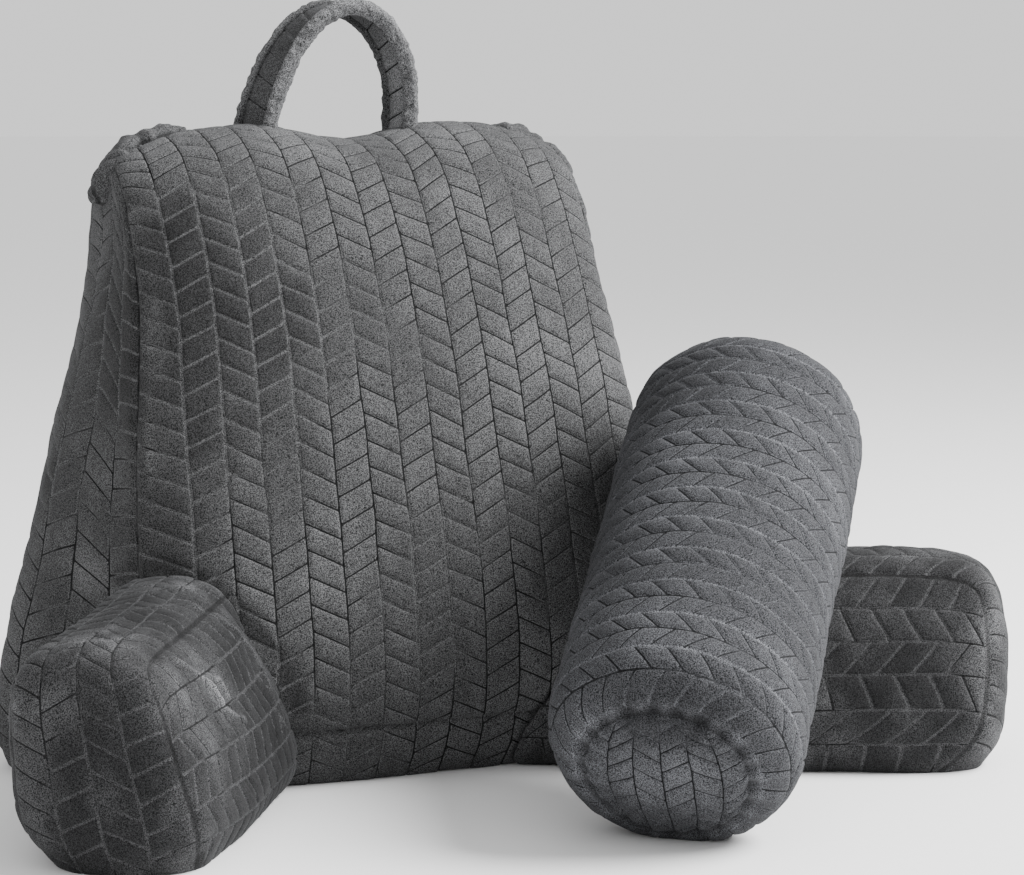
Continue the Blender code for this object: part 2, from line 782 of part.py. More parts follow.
def main():
    for obj in list(bpy.data.objects):
        bpy.data.objects.remove(obj, do_unlink=True)
    for name in (COLLECTION_NAME, CUTTERS_NAME):
        bpy.context.scene.collection.children.link(bpy.data.collections.new(name))
    cloth = {
        name: plush(f"plush_{name}", PLUSH)
        for name in ("back", "arm_left", "arm_right", "roll", "handle", "loop_left", "loop_right", "pocket")
    }
    back = back_cushion(cloth["back"])
    tree = smooth_back_tree()
    for name, *sizes in ARMS:
        shape = Arm(*sizes, tree)
        arm(name, shape, cloth[name])
        if name == "arm_left":
            side_pocket("side_pocket", shape, cloth["pocket"])
    carry_handle(cloth["handle"], tree)
    cutter = back_clearance(back)
    corner_loop("corner_loop_left", -1, cloth["loop_left"], cutter)
    corner_loop("corner_loop_right", 1, cloth["loop_right"], cutter)
    neck_roll(cloth["roll"])


main()
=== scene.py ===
"""Looks of the reading pillow: embossed herringbone plush on every cushion, with its seams,
puckers and creases, a ruched pair of corner loops, a rolled-edge strap and a side pocket.
"""

import bisect
import math

import bmesh
import bpy
import numpy as np
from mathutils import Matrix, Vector, noise
from mathutils.bvhtree import BVHTree


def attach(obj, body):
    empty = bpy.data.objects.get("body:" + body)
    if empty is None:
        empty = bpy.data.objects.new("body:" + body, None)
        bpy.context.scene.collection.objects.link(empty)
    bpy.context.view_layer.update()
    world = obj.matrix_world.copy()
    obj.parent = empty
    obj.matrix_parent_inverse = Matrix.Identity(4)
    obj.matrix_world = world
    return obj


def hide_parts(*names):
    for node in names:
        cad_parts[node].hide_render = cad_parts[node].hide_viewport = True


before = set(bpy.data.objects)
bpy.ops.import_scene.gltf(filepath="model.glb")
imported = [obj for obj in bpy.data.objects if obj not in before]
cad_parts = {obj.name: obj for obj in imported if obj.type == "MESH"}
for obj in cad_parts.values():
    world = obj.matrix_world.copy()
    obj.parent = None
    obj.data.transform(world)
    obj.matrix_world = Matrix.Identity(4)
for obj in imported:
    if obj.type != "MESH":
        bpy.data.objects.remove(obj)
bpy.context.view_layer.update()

FLOOR = 0.0
GAP = 0.0003

# Herringbone relief of the cloth
COLUMN = 0.0275
PITCH = 0.021
ROW = PITCH / 2
ZIG = 0.0142 / 2
RELIEF = 0.002
GROOVE = 0.001
PILLOW = 0.0055
PLATEAU_SHARE = 0.7
SEAM = 0.0012
WARP = (0.035, 0.14)
WARP_LENGTH = (1.6, 3.5)

# Where the grid's lines lie within a column and within half a cell: close at the grooves
COLUMN_STEPS = (0.0, 0.05, 0.11, 0.26, 0.5, 0.74, 0.89, 0.95)
NARROW_STEPS = (0.0, 0.08, 0.2, 0.5, 0.8, 0.92)
FINE_STEPS = (0.0, 0.05, 0.11, 0.2, 0.31, 0.43, 0.57, 0.69, 0.8, 0.89, 0.95)
ROW_STEPS = (0.0, 0.12, 0.36, 0.64, 0.88)

# What each point of the cloth carries for its colour: depth of the embossed groove, darkness of a seam line
# or painted shade in the troughs of the loops' folds and pleats, and how far it is painted lighter above 0
# and darker below, for brushing of the pile and for painted light and shade
LAYERS = ("groove", "fold", "brushed")

# Patches painted lighter or darker, for brushing of the pile and for painted light and shade: middle, half
# size, how far, lighter above 0 and darker below
PILE_AND_LIGHT_PATCHES = {
    "back_cushion": (
        # The next five: painted shade over the left part of the front
        ((-0.155, 0.045, 0.355), (0.072, 0.07, 0.105), -0.7),
        ((-0.178, 0.045, 0.35), (0.03, 0.06, 0.095), -0.4),
        ((-0.222, 0.11, 0.37), (0.022, 0.08, 0.11), -0.35),
        ((-0.18, 0.08, 0.445), (0.03, 0.03, 0.022), -0.6),
        ((-0.11, 0.035, 0.375), (0.04, 0.05, 0.05), -0.35),
        # Painted highlight along the ridge beside the front's left seam
        ((-0.198, 0.053, 0.352), (0.008, 0.02, 0.042), 1.0),
        # Painted highlight along the top edge
        ((-0.04, 0.112, 0.505), (0.23, 0.04, 0.017), 0.35),
        # Painted light on the right part of the front
        ((0.13, 0.03, 0.34), (0.07, 0.08, 0.13), 0.25),
        ((-0.205, 0.015, 0.2), (0.04, 0.04, 0.03), -0.35),
        ((-0.226, 0.1, 0.43), (0.012, 0.03, 0.03), 0.35),
        ((-0.24, 0.08, 0.275), (0.02, 0.022, 0.04), 0.35),
        ((-0.262, 0.06, 0.17), (0.03, 0.04, 0.022), 0.7),
        ((-0.262, 0.13, 0.23), (0.03, 0.03, 0.03), -0.6),
        ((-0.262, 0.11, 0.15), (0.03, 0.03, 0.025), -0.5),
        ((-0.232, 0.07, 0.32), (0.016, 0.022, 0.03), -0.45),
        ((-0.23, 0.125, 0.375), (0.02, 0.022, 0.03), -0.45),
    ),
    "arm_left": (
        # The next five: painted highlights on the wrinkles of the tip and the top
        ((-0.225, -0.148, 0.12), (0.026, 0.026, 0.024), 0.75),
        ((-0.262, -0.185, 0.128), (0.026, 0.026, 0.02), 0.6),
        ((-0.228, -0.18, 0.075), (0.03, 0.03, 0.02), 0.3),
        ((-0.3, -0.168, 0.156), (0.034, 0.02, 0.012), 0.6),
        ((-0.2, -0.036, 0.165), (0.018, 0.014, 0.012), 0.75),
        ((-0.246, -0.07, 0.168), (0.034, 0.03, 0.014), -0.4),
        ((-0.255, -0.075, 0.165), (0.075, 0.08, 0.022), -0.7),
        ((-0.215, -0.13, 0.08), (0.07, 0.07, 0.07), -0.7),
        ((-0.175, -0.08, 0.11), (0.034, 0.04, 0.06), -0.4),
        ((-0.345, -0.2, 0.06), (0.06, 0.05, 0.06), -0.35),
        ((-0.29, -0.235, 0.06), (0.03, 0.03, 0.05), -0.3),
        ((-0.15, -0.07, 0.06), (0.03, 0.04, 0.05), -0.5),
    ),
    "arm_right": (
        ((0.36, -0.15, 0.09), (0.075, 0.06, 0.08), -0.9),
        # Painted light on the outer part of the arm
        ((0.428, -0.175, 0.09), (0.034, 0.04, 0.07), 0.9),
    ),
    "neck_roll": (
        # Painted shade on the upper part of the roll's front cap
        ((0.05, -0.34, 0.112), (0.048, 0.04, 0.024), -1.1),
        # Painted light on the lower part of the roll's front cap
        ((0.07, -0.335, 0.055), (0.05, 0.04, 0.024), 0.45),
        ((0.18, -0.09, 0.32), (0.06, 0.06, 0.04), -0.3),
        ((0.07, -0.19, 0.19), (0.03, 0.06, 0.06), -0.25),
        ((0.22, -0.22, 0.25), (0.06, 0.06, 0.08), 0.2),
    ),
}
PATCH_EDGE = (0.02, 0.3)
PATCH_FALLOFF = 6

# Ridges and troughs of the cloth: the line they follow, width, height, and how far painted, a painted
# highlight along a ridge and painted shade along a trough
FOLDS = {
    "back_cushion": (
        (
            ((-0.205, 0.094, 0.447), (-0.206, 0.065, 0.374), (-0.208, 0.043, 0.305),
             (-0.213, 0.029, 0.252)),
            0.0038, 0.0016, 0.75,
        ),
        (
            ((-0.232, 0.041, 0.166), (-0.213, 0.01, 0.18), (-0.178, -0.012, 0.166),
             (-0.151, -0.024, 0.135), (-0.13, -0.031, 0.11), (-0.114, -0.033, 0.07)),
            0.008, -0.001, -1.2,
        ),
    ),
    "arm_left": (
        (
            ((-0.339, -0.178, 0.152), (-0.325, -0.172, 0.157), (-0.312, -0.174, 0.159),
             (-0.288, -0.166, 0.158), (-0.277, -0.157, 0.157)),
            0.003, 0.0018, 1.0,
        ),
        (
            ((-0.259, -0.172, 0.14), (-0.228, -0.153, 0.119), (-0.218, -0.154, 0.104),
             (-0.212, -0.153, 0.096), (-0.196, -0.137, 0.086)),
            0.003, 0.0026, 1.3,
        ),
        (
            ((-0.228, -0.148, 0.126), (-0.214, -0.136, 0.116), (-0.208, -0.14, 0.104)),
            0.0026, 0.0016, 0.8,
        ),
        (
            ((-0.211, -0.069, 0.16), (-0.182, -0.058, 0.144), (-0.16, -0.05, 0.121),
             (-0.148, -0.056, 0.095), (-0.145, -0.065, 0.076), (-0.137, -0.061, 0.06)),
            0.0026, 0.0022, 0.95,
        ),
        (
            ((-0.186, -0.086, 0.124), (-0.172, -0.083, 0.107), (-0.17, -0.092, 0.092)),
            0.0024, 0.0012, 0.6,
        ),
        (
            ((-0.279, -0.086, 0.164), (-0.23, -0.041, 0.17), (-0.206, -0.038, 0.167)),
            0.003, 0.0014, 0.7,
        ),
        (
            ((-0.306, -0.157, 0.161), (-0.266, -0.099, 0.165), (-0.234, -0.086, 0.163)),
            0.003, 0.0014, 0.7,
        ),
        (
            ((-0.188, -0.03, 0.16), (-0.16, -0.03, 0.138), (-0.136, -0.036, 0.11),
             (-0.122, -0.04, 0.08)),
            0.009, -0.002, -1.1,
        ),
        (
            ((-0.37, -0.173, 0.12), (-0.365, -0.181, 0.068), (-0.352, -0.186, 0.02)),
            0.003, 0.0016, 0.8,
        ),
    ),
    "arm_right": (
        (
            ((0.33, -0.082, 0.167), (0.377, -0.113, 0.165), (0.424, -0.128, 0.158)),
            0.003, 0.0014, 0.6,
        ),
    ),
}

# The line of a fold wanders by a share of its width, with bends of a length
FOLD_WANDER = (0.35, 0.01)

# Lumps of the filling under each panel: height, length, seed
LUMPS = {
    "back_strip": ((0.0022, 0.11, 1), (0.0011, 0.045, 2)),
    "back_side": ((0.003, 0.08, 6), (0.0014, 0.03, 7)),
    "roll_body": ((0.0016, 0.07, 11), (0.001, 0.03, 12)),
    "roll_cap": ((0.0012, 0.04, 15),),
    "arm_strip": ((0.0025, 0.06, 21), (0.0012, 0.025, 22)),
    "arm_side": ((0.0026, 0.06, 25),),
}

# Fine wrinkles fan out on the left arm round a place near its root, with painted highlights on their crests
# and painted shade in their troughs
FAN_MIDDLE = (-0.191, -0.108, 0.095)
FAN_REACH = (0.04, 0.09)
FAN_SPACING = 0.0066
FAN_HEIGHT = 0.0006
FAN_EDGE = 0.012
FAN_COVER = 0.6
FAN_WAVER = 1.5
FAN_PAINTED_SHADE = 0.3

# Seams: depth and width of their crease, and how dark and how wide the line in it is. Relief and
# groove fade there, and puckers run out from it. The quiet and the cap seam give depth, width, dark.
SEAM_DEPTH = 0.0026
SEAM_WIDTH = 0.003
SEAM_DARK = 0.7
SEAM_LINE = 0.0011
SEAM_FLATTENING = 0.8
SEAM_GROOVE_FILL = 0.8
QUIET_SEAM = (0.0002, 0.0028, 0.6)
CAP_SEAM = (0.0006, 0.0022, 0.6)
# Painted highlight round each cap's rim: its width, then its strength
CAP_RIM = 0.0025
CAP_RIM_PAINTED_HIGHLIGHT = 0.1
CAP_SCALLOPS = 21
CAP_SCALLOP_HEIGHT = 0.0013
CAP_SCALLOP_REACH = 0.011
CAP_SCALLOP_WAVER = 2.0
CAP_SCALLOP_PAINTED_SHADE = 0.35
CAP_RELIEF = 1.7
PUCKER = 0.0011
PUCKER_LENGTH = 0.013
PUCKER_REACH = 0.016

# Back cushion: middle and edge of the cloth strip that runs up the front, over the top and down
# the rear. Columns: y middle, z middle, y edge, z edge, half width.
BACK_STRIP = (
    (-0.006, 0.0, 0.044, 0.0, 0.212),
    (-0.022, 0.026, 0.02, 0.028, 0.226),
    (-0.036, 0.075, 0.006, 0.076, 0.231),
    (-0.034, 0.135, 0.01, 0.135, 0.229),
    (-0.008, 0.25, 0.036, 0.25, 0.22),
    (0.028, 0.38, 0.068, 0.375, 0.203),
    (0.064, 0.456, 0.096, 0.444, 0.2),
    (0.1, 0.497, 0.122, 0.476, 0.198),
    (0.165, 0.516, 0.166, 0.49, 0.194),
    (0.216, 0.498, 0.208, 0.474, 0.189),
    (0.244, 0.446, 0.228, 0.434, 0.185),
    (0.262, 0.33, 0.242, 0.33, 0.198),
    (0.268, 0.2, 0.246, 0.2, 0.22),
    (0.264, 0.08, 0.24, 0.08, 0.226),
    (0.246, 0.0, 0.226, 0.0, 0.218),
)
BACK_SHOULDER_ROWS = (6, 10)
BACK_COLUMNS = 15
BACK_FAN = 0.5
BACK_MEAN_HALF_WIDTH = 0.21
BACK_SIDE_COLUMNS = 6
BACK_SIDE_MARGIN = 0.004
BACK_SIDE_TOP = 0.997
BACK_SIDE_FLARE = 0.098
BACK_FLARE_FADE = 1.6
BACK_FLARE_FOOT = 0.8
BACK_FLARE_FOOT_HEIGHT = 0.4
BACK_FLARE_REARWARD = 1.4
BACK_FLARE_ROUNDNESS = 1.2
BACK_MIDDLE = (0.0, 0.11, 0.2)
BACK_TOP = max(row[1] for row in BACK_STRIP)
BACK_LEAN = -0.013
TOP_DIP = 0.016
TOP_DIP_REACH = 0.055
TOP_TILT = 0.009
FRONT_SEAM = 0.052
FRONT_SEAM_DEPTH = 0.0028

# Arms. Columns of the strip that runs up the tip and along the top to the root:
# reach middle, z middle, reach edge, z edge, half width.
ARM_STRIP = (
    (0.955, 0.0, 0.87, 0.0, 0.05),
    (1.0, 0.03, 0.938, 0.03, 0.062),
    (1.012, 0.07, 0.956, 0.07, 0.06),
    (1.002, 0.118, 0.952, 0.112, 0.055),
    (0.955, 0.147, 0.925, 0.137, 0.048),
    (0.84, 0.158, 0.83, 0.146, 0.043),
    (0.45, 0.165, 0.45, 0.15, 0.04),
    (0.006, 0.172, 0.006, 0.158, 0.041),
)
ARM_MEAN_LENGTH = 0.28
ARM_TIP_ROW = 4
ARM_COLUMNS = 4
ARM_STRIP_EDGE = 0.99
ARM_SIDE_COLUMNS = 6
ARM_SIDE_LENGTH = 0.26
ARM_SIDE_TOP = 0.992
ARM_SIDE_TIP = 0.994
ARM_SIDE_BULGE = 0.014
ARM_LEAN = 0.03
ARM_ROOT_FOOT = {-1: 0.036, 1: 0.088}
ARM_ROOT_SWELL = 0.024
ARM_ROOT_GRID = (14, 14)
ARM_ROOT_SLANT = 0.36
ARM_ROOT_REACH = 0.2
SEATED = RELIEF + 0.0009

# Each arm: name, side of the back it is on, splay from straight ahead in degrees, length,
# distance of its root from the middle of the back, height against the table.
ARMS = (
    ("arm_left", -1, 34.0, 0.262, 0.172, 1.0),
    ("arm_right", 1, 62.0, 0.326, 0.162, 1.06),
)

# Neck roll: the middle of its foot, how steeply and which way it leans, and its own size
ROLL_RADIUS = 0.095
ROLL_LENGTH = 0.409
ROLL_SLOPE = math.radians(33.7)
ROLL_HEADING = math.radians(38.9)
ROLL_FOOT = (0.064, -0.3095)
ROLL_SINK = 0.003
ROLL_COLUMNS = 24
ROLL_RING = 48
ROLL_END_ROUNDING = (0.044, 0.033)
# Every second column line of the roll: its groove is partly filled and a painted highlight runs along it
ROLL_ARC_WIDTH = 0.0012
ROLL_ARC_FILL = 0.6
ROLL_ARC_PAINTED_HIGHLIGHT = 1.0
ROLL_CAP_COLUMNS = 6
ROLL_CAP_ROWS = 14
ROLL_CAP_CROWN = 0.012

# Carry handle: a flat strap with two rolled edges, arched over the top
HANDLE_FEET = (-0.076, 0.053)
HANDLE_RISE = 0.102
HANDLE_WIDTH = 0.05
HANDLE_THICKNESS = 0.017
HANDLE_Y = 0.172
HANDLE_LEAN = 0.013
HANDLE_ARCH = (1.25, 0.9)
HANDLE_TURN = (math.radians(22.0), math.radians(6.0))
HANDLE_SEAT = BACK_TOP - 0.004
HANDLE_EDGE_ROLL = (0.79, 0.21)
HANDLE_THIN_SHARE = 0.46
HANDLE_GRID = (300, 72)
HANDLE_LINE_DEPTH = 0.0012
HANDLE_STITCH_PLACE = 1.05
HANDLE_STITCH_WIDTH = 0.07
HANDLE_STITCH_DEPTH = 0.0022
HANDLE_STITCH_DARK = 0.55
HANDLE_TUFTS = (0.006, 0.0028)
HANDLE_TUFT_HEIGHT = (0.0004, 0.0014)
HANDLE_WAVER = (0.0016, 0.018)
# The rolled edges are painted lighter, more where tufts stand up; the strap's faces get painted shade on
# the first leg and painted light on the second
HANDLE_ROLL_LIGHTENING = 0.7
HANDLE_FACE_PAINTED_SHADE = (-0.5, 1.2)

# Gathered corner loops. Columns: distance from the middle, y, z, half height of the tube.
# Pleats, lengthwise folds and lumps swell it, in this order.
CORNER_LOOP = (
    (0.203, 0.15, 0.454, 0.008),
    (0.2, 0.153, 0.47, 0.014),
    (0.185, 0.157, 0.485, 0.0175),
    (0.165, 0.16, 0.495, 0.018),
    (0.145, 0.163, 0.503, 0.015),
    (0.13, 0.166, 0.507, 0.008),
)
CORNER_LOOP_PLEATS = 6
CORNER_LOOP_PLUMP = 0.9
CORNER_LOOP_LENGTHWISE = 3
CORNER_LOOP_SWELL = (0.06, 0.17, 0.18)
CORNER_LOOP_PILE = (0.0009, 0.004)
# Painted shade in the troughs of the lengthwise folds and of the pleats, painted shade on the left loop and
# painted light on the right one
CORNER_LOOP_TROUGH_SHADE = (1.1, 0.4)
CORNER_LOOP_SIDE_SHADE = {-1: -0.4, 1: 0.2}
CORNER_LOOP_SHIFT = -0.007
CORNER_LOOP_WIDENING = 1.35
CORNER_LOOP_GRID = (110, 64)

# Side pocket: a patch of cloth on the outer face of the left arm, open at the top
POCKET_REACH = (0.16, 0.84)
POCKET_HEIGHT = (0.022, 0.118)
POCKET_MOUTH = 0.016
POCKET_THICKNESS = 0.0025
POCKET_COLUMNS = 7
POCKET_ROWS = 9
POCKET_GAPE = 0.65
POCKET_RELIEF = 0.5
POCKET_HEM = 0.01
POCKET_STITCH = (0.001, 0.0016)

# Cloth colours
BACK_COLOUR = (0.042, 0.0423, 0.0433)
# The arms are the same plush as the back, painted darker as painted shade
ARM_SHADED_COLOUR = (0.0265, 0.0267, 0.0276)
POCKET_COLOUR = (0.03, 0.0302, 0.0314)
HANDLE_COLOUR = (0.044, 0.0443, 0.0455)
LOOP_COLOUR = (0.046, 0.0463, 0.0475)
ROLL_COLOUR = (0.0335, 0.0342, 0.037)

# Stage and light
STAGE_RADIUS = 60.0
STAGE_SHADE = (0.94, 0.94, 0.94, 1.0)
SKY_STRENGTH = 1.1
KEY_PLACE = Vector((2.1, -1.1, 2.3))
KEY_SIZE = 2.0
KEY_POWER = 300.0

# Camera at the photograph's viewing angle
VIEW_AZIMUTH = math.radians(-24.0)
VIEW_ELEVATION = math.radians(6.5)
VIEW_DISTANCE = 2.3
VIEW_TARGET = Vector((0.08, -0.0023, 0.2673))
VIEW_SENSOR = 36.0
VIEW_LENS = 100.53


def knots_of(rows, columns=2):
    """Distance along a table's rows, taken from its first columns."""
    knots = [0.0]
    for before, after in zip(rows, rows[1:]):
        knots.append(knots[-1] + math.dist(before[:columns], after[:columns]))
    return knots


def smooth_row(rows, knots, at):
    """Values at a distance along a table, on a smooth curve through its rows."""
    last = len(knots) - 1
    low = min(max(bisect.bisect_right(knots, at) - 1, 0), last - 1)
    span = knots[low + 1] - knots[low]
    t = (at - knots[low]) / span
    weights = (
        (1 + 2 * t) * (1 - t) ** 2,
        t * (1 - t) ** 2 * span,
        t * t * (3 - 2 * t),
        t * t * (t - 1) * span,
    )

    def slope(row, column):
        before, after = max(row - 1, 0), min(row + 1, last)
        return (rows[after][column] - rows[before][column]) / (knots[after] - knots[before])

    return [
        weights[0] * rows[low][column]
        + weights[1] * slope(low, column)
        + weights[2] * rows[low + 1][column]
        + weights[3] * slope(low + 1, column)
        for column in range(len(rows[0]))
    ]


def mix(a, b, t):
    return a + (b - a) * t


def crown_falloff(across):
    """How far a panel has dropped from its middle to its edge, 0 to 1, at -1 to 1 across it."""
    return 0.45 * across ** 2 + 0.55 * across ** 6


def coons(front, back, bottom, top, s, t):
    """Point of the surface that fills four border curves."""
    ruled = mix(front(t), back(t), s) + mix(bottom(s), top(s), t)
    corners = mix(mix(front(0.0), back(0.0), s), mix(front(1.0), back(1.0), s), t)
    return ruled - corners


def noise_at(points, size, seed):
    """Smooth noise, about -1 to 1, with lumps of a size in metres."""
    flat = points.reshape(-1, 3) / size + seed * 7.31
    values = np.fromiter((noise.noise(p) for p in flat), float, len(flat))
    return values.reshape(points.shape[:-1])


def bell(distance, width):
    return np.exp(-(distance / width) ** 2)


# Panels of cloth

def grid_steps(count, fractions):
    return np.array([i + f for i in range(count) for f in fractions] + [count], float)


def zigzag(u):
    """1 on even column lines, -1 on odd ones, straight between."""
    return 1 - 2 * np.abs((u + 1) % 2 - 1)


def herringbone(u, w, column_width, row_height):
    """Height of the cells at column u and half row w, 0 to 1, and the depth of the grooves."""
    column = np.floor(np.minimum(u, u.max() - 1e-6))
    from_line = np.abs(u - np.round(u)) * column_width
    place = (w - column) % 2
    slant_cos = column_width / math.hypot(column_width, 2 * ZIG * row_height / ROW)
    from_slant = np.minimum(place, 2 - place) * row_height * slant_cos
    groove = 1 - (1 - bell(from_line, GROOVE)) * (1 - bell(from_slant, GROOVE))
    pillow = (1 - bell(from_line, PILLOW)) * (1 - bell(from_slant, PILLOW))
    return PLATEAU_SHARE * (1 - groove) + (1 - PLATEAU_SHARE) * pillow, groove


class Patch:
    """A panel of herringbone cloth, on a grid that follows its grooves."""

    def __init__(self, columns, rows, point, closed=False, width=COLUMN, height=ROW, steps=COLUMN_STEPS):
        u = grid_steps(columns, steps)
        w = grid_steps(rows, ROW_STEPS)
        if closed:
            w = w[:-1]
        self.u, self.w = np.meshgrid(u, w, indexing="ij")
        self.closed = closed
        calm_rows = 1.0 if closed else np.clip(np.minimum(self.w, rows - self.w), 0.0, 1.0)
        calm_columns = np.clip(np.minimum(self.u, columns - self.u), 0.0, 1.0)
        turn = self.w * 2 * math.pi / rows
        ring = rows / (2 * math.pi) if closed else 0.0
        places = np.stack([
            self.u / WARP_LENGTH[0],
            (np.cos(turn) * ring if closed else self.w) / WARP_LENGTH[1],
            np.sin(turn) * ring / WARP_LENGTH[1],
        ], axis=-1)
        across = self.u + WARP[0] * calm_columns * noise_at(places, 1.0, 31)
        self.v = self.w + calm_rows * (zigzag(self.u) * ZIG / ROW + WARP[1] * noise_at(places, 1.0, 32))
        self.base = np.array([[point(a, b) for a, b in zip(*line)] for line in zip(across, self.v)])
        self.height, groove = herringbone(self.u, self.w, width, height)
        self.height = self.height * RELIEF
        self.layers = {label: np.zeros_like(groove) for label in LAYERS}
        self.layers["groove"] = groove

    def normals(self, centre):
        """Unit normals of the smooth surface, pointing away from a point inside."""
        along_u = np.gradient(self.base, axis=0)
        if self.closed:
            along_w = np.roll(self.base, -1, axis=1) - np.roll(self.base, 1, axis=1)
        else:
            along_w = np.gradient(self.base, axis=1)
        normal = np.cross(along_u, along_w)
        normal /= np.maximum(np.linalg.norm(normal, axis=2, keepdims=True), 1e-12)
        if (normal * (self.base - np.array(centre))).sum() < 0:
            normal = -normal
        return normal

    def from_border(self, border):
        """Distance in metres from one border: low or high column, low or high row."""
        axis = 0 if border.endswith("column") else 1
        step = np.linalg.norm(np.diff(self.base, axis=axis), axis=2)
        start = np.zeros_like(np.take(step, [0], axis=axis))
        distance = np.concatenate([start, np.cumsum(step, axis=axis)], axis=axis)
        if border.startswith("high"):
            distance = np.take(distance, [-1], axis=axis) - distance
        return distance

    def fill(self, panel):
        """Lumps of the filling under the cloth."""
        self.height += sum(high * noise_at(self.base, long, seed) for high, long, seed in LUMPS[panel])

    def sink_seam(self, distance, seed, depth=SEAM_DEPTH, width=SEAM_WIDTH, dark=SEAM_DARK):
        """Crease along a seam, with puckers running out from it."""
        crease = bell(distance, width)
        fade = np.exp(-distance / PUCKER_REACH)
        pucker = noise_at(self.base, PUCKER_LENGTH, seed)
        self.height = self.height * (1 - SEAM_FLATTENING * crease) - depth * crease + PUCKER * pucker * fade
        self.layers["fold"] = np.maximum(self.layers["fold"], dark * bell(distance, SEAM_LINE))
        self.layers["groove"] *= 1 - SEAM_GROOVE_FILL * bell(distance, SEAM_LINE)

    def scallop(self, distance, angle):
        """Gathers of a round seam, painted lighter on their crests and darker between them, as painted
        light and shade.
        """
        wave = np.cos(CAP_SCALLOPS * angle + CAP_SCALLOP_WAVER * noise_at(self.base, 0.03, 17))
        near = np.exp(-distance / CAP_SCALLOP_REACH)
        self.height += CAP_SCALLOP_HEIGHT * wave * near
        self.layers["brushed"] += CAP_SCALLOP_PAINTED_SHADE * wave * near

    def from_path(self, path):
        """Distance from a line drawn through places near the cloth."""
        nearest = np.full(self.u.shape, np.inf)
        for start, end in zip(path, path[1:]):
            run = np.subtract(end, start)
            along = np.clip((self.base - start) @ run / run.dot(run), 0.0, 1.0)
            gap = np.linalg.norm(self.base - start - along[..., None] * run, axis=2)
            nearest = np.minimum(nearest, gap)
        return nearest

    def fold_and_paint(self, node):
        """Lay the folds of a node's cloth, with painted highlights on their ridges and painted shade in
        their troughs, and paint its patches of brushing and of painted light and shade.
        """
        share, bend = FOLD_WANDER
        for path, width, height, brushed in FOLDS.get(node, ()):
            wander = share * width * noise_at(self.base, bend, 41)
            shape = bell(self.from_path(path) + wander, width)
            self.height += height * shape
            self.layers["brushed"] += brushed * shape
        size, unevenness = PATCH_EDGE
        edge = unevenness * noise_at(self.base, size, 42)
        for middle, reach, brushed in PILE_AND_LIGHT_PATCHES.get(node, ()):
            away = np.linalg.norm((self.base - middle) / reach, axis=2) + edge
            self.layers["brushed"] += brushed / (1 + np.maximum(away, 0.0) ** PATCH_FALLOFF)

    def fan(self):
        """Fine wrinkles in rings round one place, painted lighter on their crests and darker in their
        troughs.
        """
        away = np.linalg.norm(self.base - np.array(FAN_MIDDLE), axis=2)
        low, high = FAN_REACH
        inside = np.clip(np.minimum(away - low, high - away) / FAN_EDGE, 0.0, 1.0)
        inside *= np.clip(FAN_COVER + noise_at(self.base, 0.03, 43), 0.0, 1.0)
        wave = np.sin(2 * math.pi * away / FAN_SPACING + FAN_WAVER * noise_at(self.base, 0.02, 44))
        self.height += FAN_HEIGHT * wave * inside
        self.layers["brushed"] += FAN_PAINTED_SHADE * wave * inside


